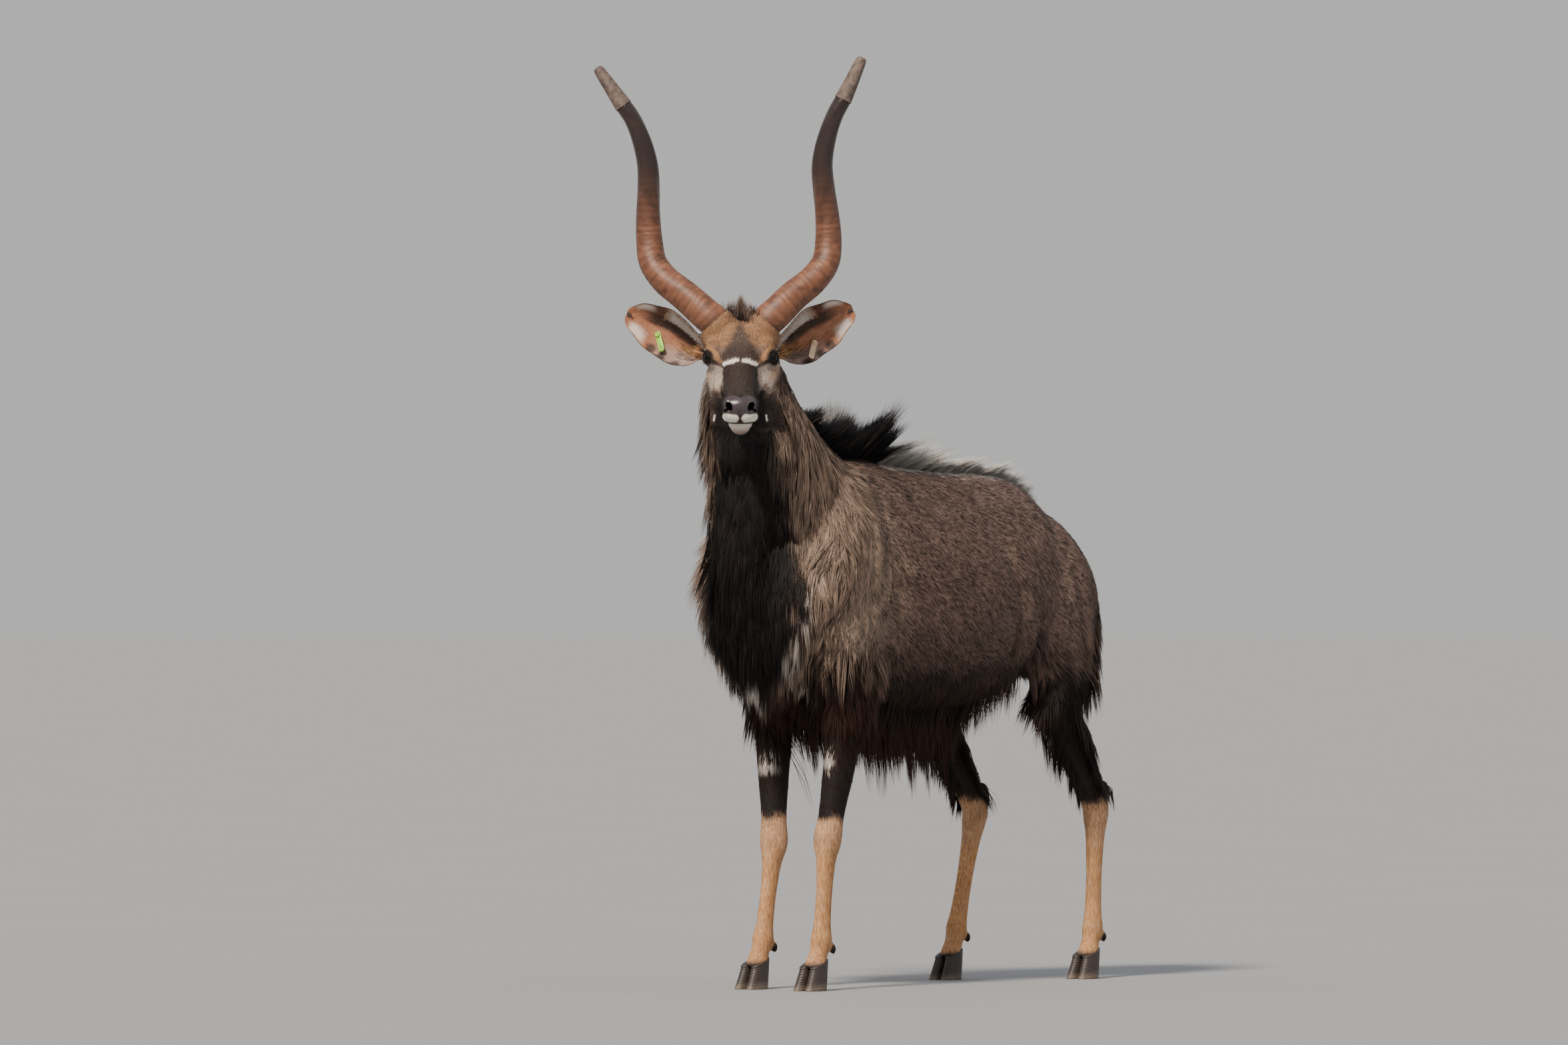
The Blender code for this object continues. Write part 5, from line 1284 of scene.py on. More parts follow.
hide_object = make_skin()
hide_points, hide_normals = read(hide_object), read(hide_object, "normal")
hide_object.data.calc_loop_triangles()
hide_faces = np.empty(len(hide_object.data.loop_triangles) * 3, np.int32)
hide_object.data.loop_triangles.foreach_get("vertices", hide_faces)
hide_faces = hide_faces.reshape(-1, 3)
corners = hide_points[hide_faces]
spans = np.cross(corners[:, 1] - corners[:, 0], corners[:, 2] - corners[:, 0])
hide = {
    "points": hide_points,
    "normals": hide_normals,
    "faces": hide_faces,
    "areas": np.linalg.norm(spans, axis=1) / 2,
    "centres": corners.mean(1),
    "facing": unit(spans),
}
coat_hair = hair_material()


def bare(points):
    """1 where no tuft grows: eyes, nostrils, nose pad, lips and horn roots."""
    f, _, u = head_places(points)
    spots = []
    for side in (-1, 1):
        spots.append((eye_centre(side) + eye_directions(side)[0] * 0.014, 0.0165, 0.15))
        spots.append((head_point(0.178, side * 0.0225, -0.050), 0.013, 0.1))
        for share in (0.05, 0.09, 0.13):
            centre, girth = horn_point(side, share)
            spots.append((centre, girth * 1.02, 0.04))
    lips = ease(0.0050, 0.0030, np.abs(u + 0.089)) * (f > 0.095)
    covers = [spot(points, *each) for each in spots]
    return np.maximum.reduce((face_markings(points, 1.0)["wet"], lips, *covers))


def on_neck(points):
    """1 where the long hair of neck and breast grows, running out softly over the front of the shoulder."""
    heights = (0.70, 0.80, 0.93, 1.02, 1.12, 1.20)
    edge = np.interp(points[:, 2], heights, (-0.455, -0.44, -0.39, -0.32, -0.27, -0.25))
    edge = edge + 0.012 * ripple(points, 0.06, 11)
    return ease(0.045, -0.050, points[:, 1] - edge) * ease(0.60, 0.68, points[:, 2]) * (1 - on_head(points))


def mane_density(points, facing):
    mane = in_mane(points, 0.012) * ease(0.0, -0.4, facing[:, 1]) * ease(-0.44, -0.50, points[:, 1])
    return mane * (1 - on_head(points))


def grow(name, wanted, density, sheet, length, width, rings, ends=None, uneven=0.18, lift=0.3, **shape):
    """One piece of the coat. Length and width may depend on the place, and ends say where tips point."""
    places, normals, ways = scatter(hide, wanted, density)
    long = length(places) if callable(length) else length
    long = long * (1 + uneven * ripple(places, 0.045, 12)) * draw.uniform(0.72, 1.2, wanted)
    wide = (width(places) if callable(width) else width) * draw.uniform(0.75, 1.25, wanted)
    aims = ways if ends is None else ends(places, normals, ways)
    lift = lift(places) if callable(lift) else lift
    obj = tufts(name, places, normals, ways, aims, long, wide, rings, sheet(places), lift=lift, **shape)
    return finish(obj, coat_hair, "coat")


def trunk_length(points):
    y, z = points[:, 1], points[:, 2]
    return 0.017 + 0.024 * ease(0.76, 0.62, z) + 0.005 * ease(-0.05, -0.22, y) * ease(0.9, 1.05, z)


def neck_length(points):
    longest = on_neck(points)
    length = 0.020 + 0.034 * longest * ease(1.32, 1.14, points[:, 2])
    return length * (1 + 0.35 * (points[:, 0] < -0.04)) + 0.010 * longest


for word, side in SIDES:
    grow(
        f"body_hair_{word}", 38000,
        lambda p, n: (p[:, 0] * side > 0) * (1 - on_neck(p)) * (1 - on_head(p)) * ease(0.50, 0.58, p[:, 2]),
        trunk_sheet, trunk_length, 0.0024, 1, lift=lambda p: 0.36 + 0.25 * ease(0.74, 0.66, p[:, 2]),
        pull=0.25, size=5, sink=0.0010, luck_spread=0.9, soft=0.45, vary=1.5,
    )

grow(
    "neck_hair", 17000, lambda p, n: np.sqrt(on_neck(p)) * (1 - 0.75 * mane_density(p, n)),
    neck_sheet, neck_length, 0.0021, 2,
    lambda p, n, w: w * 0.95 + n * (0.02 + 0.22 * ease(-0.02, -0.07, p[:, :1])) - Z * 0.25,
    lift=lambda p: 0.30 + 0.25 * ease(-0.02, -0.07, p[:, 0]), pull=0.42, size=14, wave=0.005, sink=0.0015,
    luck_spread=0.7, vary=0.9,
)

grow(
    "throat_mane", 17000, mane_density, neck_sheet,
    lambda p: np.interp(p[:, 2], (0.62, 0.75, 1.1, 1.24), (0.070, 0.105, 0.095, 0.050)), 0.0024, 2,
    lambda p, n, w: -Z + Y * 0.08 + n * 0.04, lift=0.22, pull=0.42, size=16, wave=0.004, luck_spread=0.6,
)

grow(
    "chest_fringe", 8000,
    lambda p, n: ease(0.74, 0.66, p[:, 2]) * ease(0.56, 0.62, p[:, 2]) * ease(-0.22, -0.32, p[:, 1]),
    neck_sheet, 0.060, 0.0021, 2, lambda p, n, w: -Z + n * 0.14 + Y * 0.05,
    uneven=0.5, lift=0.42, pull=0.5, size=14, wave=0.004,
)


def along_ridge(points, start, end, half):
    """1 along the top of neck or back, between two places."""
    y = points[:, 1]
    within = ease(half, half * 0.5, np.abs(points[:, 0]))
    return within * ease(start - 0.02, start + 0.02, y) * ease(end + 0.012, end - 0.012, y)


def standing(up, back, apart, chance):
    """Tips of a crest: up and backwards, leaning outwards from the middle line and a little by chance."""
    return lambda p, n, w: Z * up + Y * back + X * (p[:, :1] * apart + draw.normal(0, chance, (len(p), 1)))


grow(
    "crest_dark", 8000,
    lambda p, n: along_ridge(p, -0.385, -0.135, 0.030) * (n[:, 2] > 0.0) * (p[:, 2] > 1.0), ridge_sheet,
    lambda p: np.interp(p[:, 1], (-0.41, -0.34, -0.28, -0.20, -0.135), (0.030, 0.066, 0.105, 0.130, 0.090)),
    0.0016, 2, standing(0.76, 0.60, 12, 0.30),
    uneven=0.40, lift=1.05, pull=0.26, size=22, wave=0.006, soft=0.3,
)

grow(
    "crest_pale", 7500, lambda p, n: along_ridge(p, -0.147, 0.47, 0.040) * (n[:, 2] > 0.3), ridge_sheet,
    lambda p: np.interp(p[:, 1], (-0.14, -0.06, 0.04, 0.30, 0.46), (0.102, 0.088, 0.062, 0.052, 0.036)),
    0.0017, 2, standing(0.22, 0.95, 16, 0.28),
    uneven=0.45, lift=0.85, pull=0.30, size=20, wave=0.005, soft=0.8,
)

grow(
    "belly_fringe", 8000,
    lambda p, n: ease(0.09, 0.06, np.abs(p[:, 0])) * ease(-0.42, -0.36, p[:, 1]) * ease(0.27, 0.20, p[:, 1])
    * ease(0.05, -0.35, n[:, 2]) * (p[:, 2] > 0.5),
    ridge_sheet, 0.094, 0.0022, 2, lambda p, n, w: -Z + Y * 0.16 + n * 0.10,
    uneven=0.45, lift=0.70, pull=0.5, size=18, wave=0.005,
)


def thigh_density(points, facing):
    x, y, z = points.T
    leg = ease(0.10, 0.16, y) * ease(0.39, 0.44, z) * ease(0.86, 0.72, z)
    edges = np.maximum(ease(0.10, 0.60, facing[:, 1]), 0.7 * ease(-0.35, -0.75, facing[:, 1]))
    return leg * edges * (np.abs(x) > 0.05)


grow(
    "thigh_fringe", 10000, thigh_density, legs_sheet,
    lambda p: np.interp(p[:, 2], (0.40, 0.50, 0.66, 0.82), (0.055, 0.095, 0.085, 0.040)), 0.0022, 2,
    lambda p, n, w: -Z + n * 0.16, uneven=0.45, lift=0.38, pull=0.5, size=14, wave=0.005,
)

grow(
    "tail_hair", 5500,
    lambda p, n: ease(0.528, 0.555, p[:, 1]) * (np.abs(p[:, 0]) < 0.06) * (p[:, 2] > 0.5) * (p[:, 2] < 0.99),
    tail_sheet, lambda p: np.interp(p[:, 2], (0.54, 0.80, 0.98), (0.075, 0.065, 0.022)), 0.0022, 2,
    lambda p, n, w: -Z + n * 0.20, uneven=0.35, lift=0.33, pull=0.4, size=12, wave=0.004,
)

grow(
    "leg_hair", 30000,
    lambda p, n: ease(0.62, 0.54, p[:, 2]) * (p[:, 2] > 0.055) * (np.abs(p[:, 0]) > 0.03)
    * (0.5 + 0.7 * (p[:, 2] > 0.3)),
    legs_sheet, lambda p: np.interp(p[:, 2], (0.05, 0.30, 0.42, 0.58), (0.006, 0.007, 0.014, 0.022)),
    lambda p: np.interp(p[:, 2], (0.05, 0.34, 0.50), (0.0010, 0.0012, 0.0020)), 1, lift=0.25, sink=0.0006,
)


def face_length(points):
    f, l, u = head_places(points)
    length = 0.0078 - 0.0043 * ease(0.06, 0.15, f) + 0.006 * ease(-0.070, -0.105, u) * ease(0.10, 0.04, f)
    length = length + 0.010 * ease(-0.085, -0.115, f) + 0.006 * ease(-0.106, -0.114, u) * ease(0.10, 0.13, f)
    return length * (1 - 0.65 * stroke(np.abs(l), points[:, 2] - EYES_MIDDLE[2], CRESCENT, 0.010))


grow(
    "face_hair", 38000,
    lambda p, n: on_head(p) * (1 - bare(p)) * (0.7 + 0.6 * ease(-0.02, 0.03, head_places(p)[0])),
    head_sheet, face_length, lambda p: 0.0008 + 0.0005 * ease(-0.02, -0.08, head_places(p)[0]), 1,
    uneven=0.1, lift=0.22, sink=0.0004, soft=0.7,
)

crown = head_point(-0.062, 0, 0.070)
topknot = grow(
    "topknot", 620,
    lambda p, n: spot(p, crown, (0.040, 0.018, 0.040), 0.3) * (head_places(p)[2] > 0.045),
    head_sheet, 0.036, 0.0009, 3, lambda p, n, w: Z - HEADING * 0.15 + X * draw.normal(0, 0.26, (len(p), 1)),
    uneven=0.4, lift=1.1, pull=0.15, size=8, soft=0.2,
)
mark(topknot, tan=0.0)


# The hide itself.

# Painted shade deep in each nostril, kept for the hide to darken nearly to black.
pits = sum(spot(hide_points, head_point(0.171, s * 0.0215, -0.050), 0.0125, 0.2) for s in (-1, 1))
mark(hide_object, pit=np.clip(pits, 0, 1) * on_head(hide_points), **markings(hide_points))
# Streaks are drawn out lengthways by shrinking the pattern's places along the lie.
run = grain(hide_points)
mark_vectors(hide_object, "flow", hide_points - run * (hide_points * run).sum(1)[:, None] * 0.86)
flesh = ("head", "neck", "torso", "tail", "foreleg_left", "foreleg_right", "hindleg_left", "hindleg_right")
finish(hide_object, hide_material(), "coat", *flesh)


# Eyes and lids.


def ring_form(path, radii, count=10):
    """Points and faces of a tube round a closed path."""
    total = len(path)
    along = unit(np.roll(path, -1, 0) - np.roll(path, 1, 0))
    middle = path.mean(0)
    out = unit(path - middle - along * ((path - middle) * along).sum(1)[:, None])
    up = np.cross(along, out)
    angle = round_angles(count)[None, :, None]
    circles = out[:, None] * np.cos(angle) + up[:, None] * np.sin(angle)
    rings = path[:, None] + radii[:, None, None] * circles
    i, j = np.meshgrid(np.arange(total), np.arange(count), indexing="ij")
    a, b = i * count + j, i * count + (j + 1) % count
    c, d = (i + 1) % total * count + (j + 1) % count, (i + 1) % total * count + j
    faces = np.stack((a, b, c, a, c, d), -1).reshape(-1, 3)
    points = rings.reshape(-1, 3)
    return points, outward(points, faces, middle)


def lid_path(side, wider=0.0, lift=0.0008, count=96):
    """The almond edge of the eyelids, on the eyeball."""
    out, slant, up = eye_directions(side)
    wide, tall = EYE_OPENING[0] + wider, EYE_OPENING[1] + wider
    angle = round_angles(count)
    a = wide * np.cos(angle)
    b = tall * np.sin(angle) * np.abs(np.sin(angle)) ** 0.25
    radius = EYE_RADIUS + lift
    deep = np.sqrt(np.maximum(radius**2 - a**2 - b**2, 0))
    return eye_centre(side) + np.outer(a, slant) + np.outer(b, up) + np.outer(deep, out), np.sin(angle)


def make_eye(word, side):
    out, slant, up = eye_directions(side)
    turn = np.array((slant, up, out))
    points, faces = ball(eye_centre(side), (EYE_RADIUS,) * 3, turn, 64, 72)
    offset = points - eye_centre(side)
    off_axis = np.arccos(np.clip(unit(offset) @ out, -1, 1))
    bulge = 1 + 0.055 * ease(0.66, 0.0, off_axis)
    points = eye_centre(side) + offset * bulge[:, None]
    obj = piece_from(f"eyeball_{word}", points, faces)
    # The pupil is an oval that lies level.
    level = unit(FORWARD - Z * (FORWARD @ Z))
    level = unit(level - out * (level @ out))
    tall = np.cross(out, level)
    far = np.sqrt((offset @ level / 0.0066) ** 2 + (offset @ tall / 0.0046) ** 2)
    mark(obj, pupil=ease(1.06, 0.92, far) * (offset @ out > 0), rim=ease(0.60, 0.70, off_axis))
    around = np.arctan2(offset @ slant, offset @ up)
    mark_vectors(obj, "rays", np.stack((np.cos(around) * 3, np.sin(around) * 3, off_axis * 2), -1))
    finish(obj, wet_eye, "eye", f"eye_{word}")
    path, height = lid_path(side)
    radii = 0.0016 + 0.0006 * np.maximum(height, 0)
    inner = ring_form(path + out * 0.0006, radii)
    fold_path, height = lid_path(side, 0.0042, 0.0016)
    fold = ring_form(fold_path, 0.0004 + 0.0016 * np.maximum(height, 0))
    finish(joined(f"eyelids_{word}", [inner, fold]), lid_edge, "coat")


wet_eye, lid_edge = eye_material(), plain_material("eyelid_edge")
for word, side in SIDES:
    make_eye(word, side)


WHISKERS = 34


def lashes():
    """Lashes of both eyes, and whiskers round the mouth."""
    roots, ways, normals, length = [], [], [], []
    for side in (-1, 1):
        out, slant, up = eye_directions(side)
        path, height = lid_path(side, 0.0012, 0.0020, 400)
        for share, sign, long, wanted in ((0.15, 1, 0.0135, 130), (0.3, -1, 0.006, 60)):
            row = np.flatnonzero(height * sign > share)
            chosen = draw.choice(row, wanted)
            roots.append(path[chosen])
            away = unit(path[chosen] - eye_centre(side) - out * 0.012)
            ways.append(unit(out * 0.9 + away * 0.75 - slant * 0.35 + draw.normal(0, 0.08, (wanted, 3))))
            normals.append(np.broadcast_to(up * sign, (wanted, 3)))
            length.append(np.full(wanted, long) * draw.uniform(0.7, 1.1, wanted))
        spread = draw.uniform(0, 1, (WHISKERS, 3))
        ahead, above = 0.120 + 0.055 * spread[:, 0], -0.100 - 0.012 * spread[:, 1]
        roots.append(head_point(ahead[:, None], side * 0.019, above[:, None]))
        chance = draw.normal(0, 0.22, (WHISKERS, 3))
        ways.append(unit(LEFTWARD * side * 0.8 - ABOVE * 0.55 + FORWARD * 0.25 + chance))
        normals.append(np.broadcast_to(FORWARD, (WHISKERS, 3)))
        length.append(draw.uniform(0.012, 0.034, WHISKERS))
    roots, ways, normals, length = (np.concatenate(rows) for rows in (roots, ways, normals, length))
    normals = unit(np.cross(np.cross(ways, normals), ways))
    ends = ways - normals * 0.25 - Z * 0.2
    sheet = head_sheet(roots)
    obj = tufts(
        "lashes_and_whiskers", roots, normals, ways, ends, length, 0.0005, 3, sheet, lift=0.15, sink=0.001,
    )
    mark(obj, black=1.0, white=0.0, luck=-1.0)
    finish(obj, coat_hair, "coat")


lashes()


# Horns and their caps.


def horn_rings(side, shares, count):
    """Rings round a horn, its place along the sheath and how deep each point lies in a groove."""
    points, grain_at, groove, polish = [], [], [], []
    middles = [horn_point(side, share)[0] for share in shares]
    reach = np.cumsum([0] + [np.linalg.norm(b - a) for a, b in zip(middles, middles[1:])])
    turn = round_angles(count)
    for k, share in enumerate(shares):
        centre, girth = horn_point(side, share)
        step = 0.004
        along = unit(horn_point(side, share + step)[0] - horn_point(side, share - step)[0])
        across = unit(HEADING - along * (HEADING @ along))
        other = np.cross(along, across)
        from_keel = side * turn - HORN_TWIST * share
        keel = 1 + 0.14 * np.maximum(0, np.cos(from_keel)) ** 3 - 0.04 * np.cos(2 * from_keel)
        # Ribs rise every 8 mm or so on the lower horn, wander, and are worn away higher up.
        wander = 0.9 * np.sin(from_keel + share * 9) + 0.5 * np.sin(2 * from_keel - share * 17)
        phase = 2 * math.pi * (reach[k] + 0.004 * wander) / (0.0085 + 0.0035 * share)
        fade = ease(0.70, 0.42, share) * (0.75 + 0.25 * math.sin(share * 40))
        rough = 0.55 + 0.45 * np.sin(from_keel * 2 + share * 23) * math.sin(share * 71 + 1)
        rib = np.maximum(np.sin(phase), -0.6) * fade * rough
        fine = np.sin(phase * 3.1 + wander * 3) * fade * 0.4
        ridge = ease(0.80, 1.0, np.cos(from_keel)) * ease(0.35, 0.60, share)
        radius = girth * keel + 0.00034 * rib + 0.00022 * fine + 0.0009 * ridge
        radius = radius - 0.0010 * ease(0.86, 1.0, np.cos(from_keel - 0.55)) * ease(0.45, 0.65, share)
        ring = np.outer(np.cos(turn) * radius, across) + np.outer(np.sin(turn) * radius, other)
        points.append(centre + ring)
        around = np.cos(from_keel) * girth, np.sin(from_keel) * girth
        grain_at.append(np.stack((*around, np.full(count, reach[k])), -1))
        groove.append(np.clip(-rib * 0.9 - fine * 0.6, 0, 1))
        polish.append(np.full(count, ease(0.40, 0.74, share)))
    return points, np.vstack(grain_at), np.concatenate(groove), np.concatenate(polish)


# A cap's girth: share of its length, radius.
CAP_GIRTH = (
    (0.00, 0.0176), (0.004, 0.0186), (0.03, 0.0187), (0.05, 0.0183), (0.30, 0.0166), (0.62, 0.0138),
    (0.86, 0.0117), (0.95, 0.0101), (0.985, 0.0080), (1.00, 0.0050),
)


def make_horn(word, side):
    points, grain_at, groove, polish = horn_rings(side, np.linspace(-0.02, CAP_FROM, 460), 44)
    obj = joined(f"horn_sheath_{word}", [tube(points)])
    mark(obj, groove=np.append(groove, (0, 0)), polish=np.append(polish, (0, 1)))
    mark_vectors(obj, "grain", np.vstack((grain_at, grain_at[0], grain_at[-1])))
    finish(obj, ribbed_horn, "horn", f"horn_{word}")
    spans = (0, 0.06, 12), (0.08, 0.84, 40), (0.86, 1.0, 18)
    shares = np.concatenate([np.linspace(*span) for span in spans])
    seat = horn_point(side, CAP_FROM)[0]
    along = unit(horn_point(side, 1.0)[0] - seat)
    rows = []
    for share in shares:
        girth = np.interp(share, *zip(*CAP_GIRTH))
        dents = 1 + 0.012 * math.sin(share * 31 + side) + 0.008 * math.sin(share * 67)
        centre = horn_point(side, CAP_FROM + share * (1 - CAP_FROM))[0] + along * 0.0003
        rows.append((*centre, girth * dents, girth))
    cap = joined(f"horn_sleeve_{word}", [limb(rows, HEADING, 0, 40, 1)])
    finish(cap, cap_hose, "horn_cap", f"horn_cap_{word}")


ribbed_horn, cap_hose = horn_material(), cap_material()
for word, side in SIDES:
    make_horn(word, side)


# Ears.


def ear_place(side, share, up):
    """Points in the middle of an ear's wall: share of its length, -1 at its lower edge to 1 at its upper."""
    root, along, opening, across = ear_frame(side)
    across = across * (1 if across[2] > 0 else -1)
    table = smooth_rows(EAR_SHAPE, 4)
    half, depth, rise = (np.interp(share, table[:, 0], table[:, k]) for k in (1, 2, 3))
    from_fold = (up - EAR_FOLD) / np.where(up < EAR_FOLD, 1 + EAR_FOLD, 1 - EAR_FOLD)
    sunk = depth * (from_fold**2 - 1)
    # The rim rolls a little, and folds run up the inside from the root.
    sunk = sunk + 0.0020 * np.sin(share * 19 + side) * np.abs(up) ** 6
    notch = 0.014 * np.maximum(0, 1 - np.abs(up + 0.06) / 0.26) * np.clip((share - 0.90) / 0.10, 0, 1) ** 1.3
    along_it = EAR_LENGTH * share - notch
    return root + np.outer(along_it, along) + np.outer(half * up + rise, across) + np.outer(sunk, opening)


def ear_colours(share, up, inside):
    """Masks of an ear's colours. Inside is 1 on the hollow side."""

    def patch(low, high, near, far):
        """1 between two edges across the ear and two along it, each from where it starts to where it is full."""
        return ease(*low, up) * ease(*high, up) * ease(*near, share) * ease(*far, share)

    band = patch((0.36, 0.52), (0.99, 0.90), (0.03, 0.08), (0.64, 0.50))
    upper_tip = patch((0.50, 0.80), (0.99, 0.88), (0.70, 0.80), (0.95, 0.88))
    lower_tip = patch((-0.30, -0.62), (-0.99, -0.88), (0.70, 0.80), (0.96, 0.88))
    lobe = ease(-0.30, -0.65, up) * ease(0.08, 0.16, share) * ease(0.66, 0.46, share)
    shadow = patch((-0.10, 0.14), (0.72, 0.50), (0.10, 0.22), (0.95, 0.70))
    outer = ease(0.25, 0.55, up) * ease(0.52, 0.66, share) * ease(0.86, 0.76, share)
    shadow = np.maximum(shadow, 0.8 * outer)
    rim = ease(0.955, 0.985, np.abs(up)) * 0.8 + ease(0.955, 0.99, share) * ease(0.5, 0.0, np.abs(up))
    blots = np.zeros(len(share))
    # Dark spots on the edge: share of the ear's length, place across, reach along.
    for at, height, reach in (
        (0.63, -0.86, 0.055), (0.50, -0.97, 0.05), (0.33, -1.00, 0.06), (0.985, 0.15, 0.035),
    ):
        blots = np.maximum(blots, ease(1.35, 0.55, np.hypot((share - at) / reach, (up - height) / 0.20)))
    return {
        "inside": inside,
        "shadow": inside * shadow * (1 - band),
        "pink": inside * lobe,
        "white": inside * np.maximum.reduce((band, 0.9 * upper_tip, 0.9 * lower_tip)),
        "black": np.maximum(np.clip(rim, 0, 1), inside * 0.85 * blots) * (1 - inside * band * 0.8),
    }


def ear_wall(share, up):
    """Half an ear's thickness. A plug fills its stalk."""
    edge = np.sqrt(np.maximum(0, 1 - up**2))
    half = np.interp(share, *np.array(EAR_SHAPE)[:, :2].T)
    plug = np.clip(1 - (share - 0.06) / 0.10, 0, 1) * half * 0.85 * edge
    return EAR_THICKNESS / 2 * (0.35 + 0.65 * edge) + plug


def make_ear(word, side):
    opening = ear_frame(side)[2]
    shares = np.concatenate((np.linspace(-0.06, 0.9, 84), np.linspace(0.905, 1.0, 20)))
    ups = np.sin(np.linspace(-math.pi / 2, math.pi / 2, 49))
    rings, share_of, up_of, inside = [], [], [], []
    for share in shares:
        middle = ear_place(side, np.full(len(ups), share), ups)
        wall = ear_wall(share, ups)[:, None] * opening
        fade = ease(0.1, 0.25, share) * ease(0.9, 0.6, share) * (1 - ups**2)
        ridges = 0.0008 * np.sin(ups * 11 + share * 5) * fade
        rings.append(np.vstack((middle + wall + ridges[:, None] * opening, (middle - wall)[::-1])))
        share_of.append(np.full(len(ups) * 2, share))
        up_of.append(np.concatenate((ups, ups[::-1])))
        inside.append(np.concatenate((np.ones(len(ups)), np.zeros(len(ups)))))
    obj = joined(f"ear_leaf_{word}", [tube(rings)])
    share_of, up_of, inside = (np.append(np.concatenate(rows), (0, 0)) for rows in (share_of, up_of, inside))
    share_of[-1] = 1.0
    mark(obj, **ear_colours(share_of, up_of, inside))
    fan = np.stack((share_of * 0.02, up_of * (0.02 + 0.03 * share_of), inside * 0.05), -1)
    mark_vectors(obj, "grain", fan)
    finish(obj, ear_skin, "ear", f"ear_{word}")


ear_skin = ear_material()
for word, side in SIDES:
    make_ear(word, side)


def ear_hair(word, side):
    """The pale band inside an ear's upper edge, thin hair in its hollow, short hair on rim and back."""
    opening = ear_frame(side)[2]
    rows = []
    # Count, share from and to, height from and to, hollow side, way along and across, length, width, lift.
    parts = (
        (700, (0.04, 0.62), (0.62, 0.96), 1, (0.55, -1.0), 0.020, 0.0016, 0.45),
        (260, (0.05, 0.30), (-0.75, 0.30), 1, (1.0, 0.25), 0.026, 0.0012, 0.40),
        (500, (0.15, 0.92), (-0.92, 0.55), 1, (1.0, 0.10), 0.009, 0.0010, 0.25),
        (700, (0.05, 0.98), (0.93, 0.995), 1, (1.0, 0.25), 0.0055, 0.0009, 0.35),
        (700, (0.05, 0.98), (-0.995, -0.93), 1, (1.0, -0.25), 0.0055, 0.0009, 0.35),
        (1300, (0.02, 0.97), (-0.95, 0.95), 0, (1.0, 0.0), 0.010, 0.0014, 0.20),
    )
    for wanted, shares, ups, hollow, way, length, width, lift in parts:
        share, up = draw.uniform(*shares, wanted), draw.uniform(*ups, wanted)
        facing = opening * (1 if hollow else -1)
        wall = ear_wall(share, up)[:, None] * facing
        places = ear_place(side, share, up) + wall * 0.9
        ahead = ear_place(side, share + 0.01, up) - ear_place(side, share, up)
        aside = ear_place(side, share, up + 0.01) - ear_place(side, share, up)
        normals = unit(np.cross(ahead, aside))
        normals = normals * np.sign((normals @ facing))[:, None]
        ways = unit(unit(ahead) * way[0] + unit(aside) * way[1])
        colours = ear_colours(share, up, np.full(wanted, float(hollow)))
        sizes = (np.full(wanted, value) for value in (length, width, lift))
        rows.append((places, normals, ways, *sizes, share, up, *colours.values()))
    rows = [np.concatenate(row) for row in zip(*rows)]
    places, normals, ways, length, width, lift, share, up, *masks = rows
    colours = dict(zip(colours, masks))
    sheet = np.clip(np.stack((share * 0.9 + 0.05, up * 0.45 + 0.5), -1), 0.004, 0.996)
    length = length * draw.uniform(0.7, 1.2, len(places))
    obj = tufts(
        f"ear_hair_{word}", places, normals, ways, ways, length, width, 2, sheet, lift=lift, sink=0.0006,
    )
    orange = colours["inside"] * (1 - colours["shadow"]) * (1 - colours["pink"]) * 0.9
    pale = {name: colours[name] for name in ("white", "black")}
    mark(obj, **pale, cream=0.55 * colours["pink"], tan=orange, warm=0.2)
    finish(obj, coat_hair, "ear")


for word, side in SIDES:
    ear_hair(word, side)


# Ear tags.

# Each tag's slot, and where its stud and its tip lie on the ear: share of the length, place across.
TAG_SLOTS = {"cream": "tag_cream", "lime": "tag_green"}
TAG_PLACES = {1: ((0.49, -0.50), (0.33, -0.95)), -1: ((0.62, -0.30), (0.44, -0.86))}


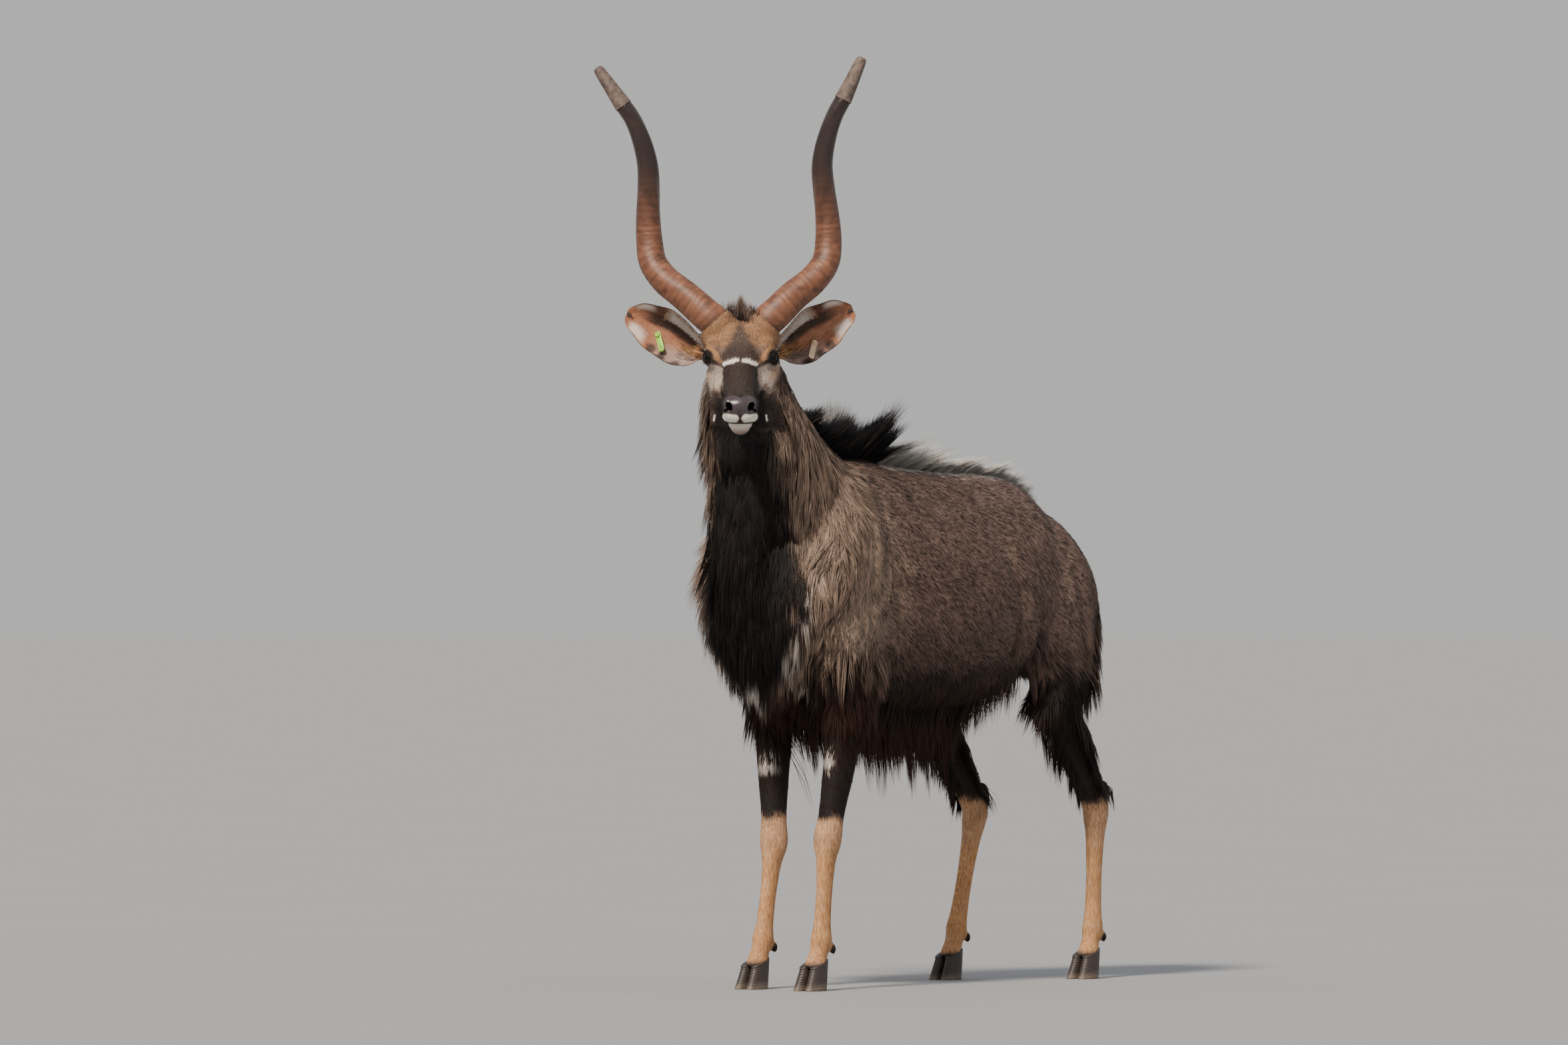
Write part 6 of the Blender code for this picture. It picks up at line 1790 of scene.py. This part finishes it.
def make_tag(word, side, colour):
    """A blank plastic strip with a raised border, a round stud and a small hollow stud near its tip."""
    opening = ear_frame(side)[2]
    stud_at, tip_at = (ear_place(side, np.array([s]), np.array([u]))[0] for s, u in TAG_PLACES[side])
    lean = unit(unit(tip_at - stud_at) + opening * 0.16)
    wide = unit(np.cross(opening, lean))
    face = unit(np.cross(lean, wide))
    foot = stud_at + face * 0.0056

    def outline(start, end, half, round_by):
        """A strip with rounded ends, as points along and across."""
        turn = np.linspace(-math.pi / 2, math.pi / 2, 13)
        far = np.stack((end - round_by + round_by * np.cos(turn), half * np.sin(turn)), -1)
        near = np.stack((start + round_by - round_by * np.cos(turn), -half * np.sin(turn)), -1)
        return np.vstack((far, near))

    def slab(start, end, half, round_by, low, high, soft=0.0004, shift=0.0):
        rings = []
        for rise, inset in ((low, soft), (low + soft, 0), (high - soft, 0), (high, soft)):
            edge = outline(start + inset, end - inset, half - inset, round_by - inset * 0.5)
            ring = np.outer(edge[:, 0], lean) + np.outer(edge[:, 1] + shift, wide)
            rings.append(foot + ring + face * rise)
        return tube(rings)

    def stud(radius, low, high, soft=0.0006, at=0.0):
        turn = round_angles(36)
        circle = np.outer(np.cos(turn), lean) + np.outer(np.sin(turn), wide)
        edges = ((low, soft), (low + soft, 0), (high - soft, 0), (high, soft))
        hollow = ((high, radius * 0.55), (high - 0.0012, radius * 0.62))
        middle = foot + lean * at
        return tube([middle + circle * (radius - inset) + face * rise for rise, inset in edges + hollow])

    forms = [slab(-0.0085, 0.040, 0.0066, 0.0050, -0.0010, 0.0006), stud(0.0056, 0.0004, 0.0046)]
    for across in (-1, 1):
        forms.append(slab(0.0060, 0.038, 0.0008, 0.0007, 0.0004, 0.0014, 0.0002, across * 0.0055))
    forms.append(slab(0.0350, 0.0385, 0.0052, 0.0016, 0.0004, 0.0014, 0.0002))
    forms.append(stud(0.0024, 0.0004, 0.0016, 0.0003, 0.0290))
    obj = joined(f"ear_tag_strip_{word}", forms)
    finish(obj, plain_material(f"moulded_{colour}_plastic"), TAG_SLOTS[colour], f"ear_tag_{word}")


make_tag("left", 1, "cream")
make_tag("right", -1, "lime")


# Hooves.


def make_claw(name, leg, toe, node):
    """Half of a cloven hoof, with rings of growth and a worn edge."""
    joint = np.array(leg[3])
    shares = np.concatenate((np.linspace(-0.10, 0.9, 34), (0.95, 0.985, 1.0)))
    count = 44
    c, s = np.cos(round_angles(count)), np.sin(round_angles(count))
    rings = []
    for share in shares:
        grow_out = np.clip(share, 0, 1)
        across = (0.0125 + 0.0022 * grow_out) * (np.sign(c) * np.abs(c) ** 0.9 + 1) + 0.0012
        long = 0.027 + 0.006 * grow_out
        back = np.where(s > 0, 0.94, 1.0)
        ripples = 0.00035 * math.sin(share * 52) * ease(1.0, 0.9, share)
        edge = 0.0010 * ease(0.96, 1.0, share)
        x = joint[0] + toe * (across + (ripples - edge) * c)
        y = joint[1] - 0.006 - 0.014 * grow_out + (long * back + ripples - edge) * s
        top = 0.054 + (y - joint[1]) * 0.34
        rings.append(np.stack((x, y, np.maximum(0, top * (1 - share))), -1))
    obj = joined(name, [tube(rings)])
    mark(obj, worn=ease(0.55, 1.0, np.append(np.repeat(shares, count), (0, 1))))
    finish(obj, hoof_horn, "hoof", node)


hoof_horn = hoof_material()
for leg_name, (side, leg) in LEGS.items():
    fore, word = leg_name.split("_")
    for where, toe in (("outer", side), ("inner", -side)):
        make_claw(f"claw_{leg_name}_{where}", leg, toe, f"hoof_{fore}_{word}_{where}")


# Floor, light and camera.


ROOM_LOW, ROOM_HIGH, ROOM_LIGHT = "#d2d1d0", "#d8dce2", 0.85
SUN_LIGHT, SUN_COLOUR, SUN_WIDTH = 4.8, "#fff2e2", math.radians(9)
FLOOR_REACH = 150.0

# The photograph looks level, along a line 37 degrees off the body's own. The distance is judged.
LOOK = unit(np.array((-0.60182, 0.79864, 0)))
ACROSS = np.array((0.79864, 0.60182, 0))
DISTANCE, FOCAL_LENGTH, SHIFT_UP = 24, 262.3, 0.0408
CAMERA_FROM = np.array((0, -0.40, 0.847)) + STAND - ACROSS * 0.0091 - LOOK * DISTANCE


def lay_floor():
    """A pale floor, far wider than the picture."""
    square = np.array(((-1, -1, 0), (1, -1, 0), (1, 1, 0), (-1, 1, 0))) * FLOOR_REACH
    floor = piece_from("floor", square, np.array(((0, 1, 2), (0, 2, 3))))
    floor.data.materials.append(plain_material("painted_floor"))


def paint_room():
    """An even, pale room, a little brighter overhead."""
    world = bpy.data.worlds.new("studio")
    world.use_nodes = True
    add = partial(add_node, world.node_tree)
    height = add("SeparateXYZ", "Z", {0: add("TexCoord", "Generated")})
    share = add("MapRange", 0, {0: height, 1: 0.02, 2: 0.9})
    colour = add("Mix", 2, {0: share, 6: ROOM_LOW, 7: ROOM_HIGH}, data_type="RGBA")
    backdrop = world.node_tree.nodes["Background"]
    world.node_tree.links.new(colour, backdrop.inputs["Color"])
    backdrop.inputs["Strength"].default_value = ROOM_LIGHT
    bpy.context.scene.world = world


def set_up(name, made, place, look):
    """Puts a lamp or camera in its place, looking the given way."""
    held = bpy.data.objects.new(name, made)
    held.location = place
    held.rotation_mode = "QUATERNION"
    held.rotation_quaternion = Vector(look).to_track_quat("-Z", "Y")
    bpy.context.scene.collection.objects.link(held)
    return held


lay_floor()
paint_room()

key = bpy.data.lights.new("key", "SUN")
key.energy, key.angle, key.color = SUN_LIGHT, SUN_WIDTH, hex_colour(SUN_COLOUR)[:3]
middle = np.array((0, -0.1, 0.95))
sun_from = middle - LOOK * 3.5 - ACROSS * 1.6 + Z * 3.9
set_up("key", key, sun_from, middle - sun_from)

camera = bpy.data.cameras.new("camera")
camera.lens, camera.sensor_width, camera.shift_y, camera.clip_end = FOCAL_LENGTH, 36, SHIFT_UP, 200
bpy.context.scene.camera = set_up("camera", camera, CAMERA_FROM, LOOK)
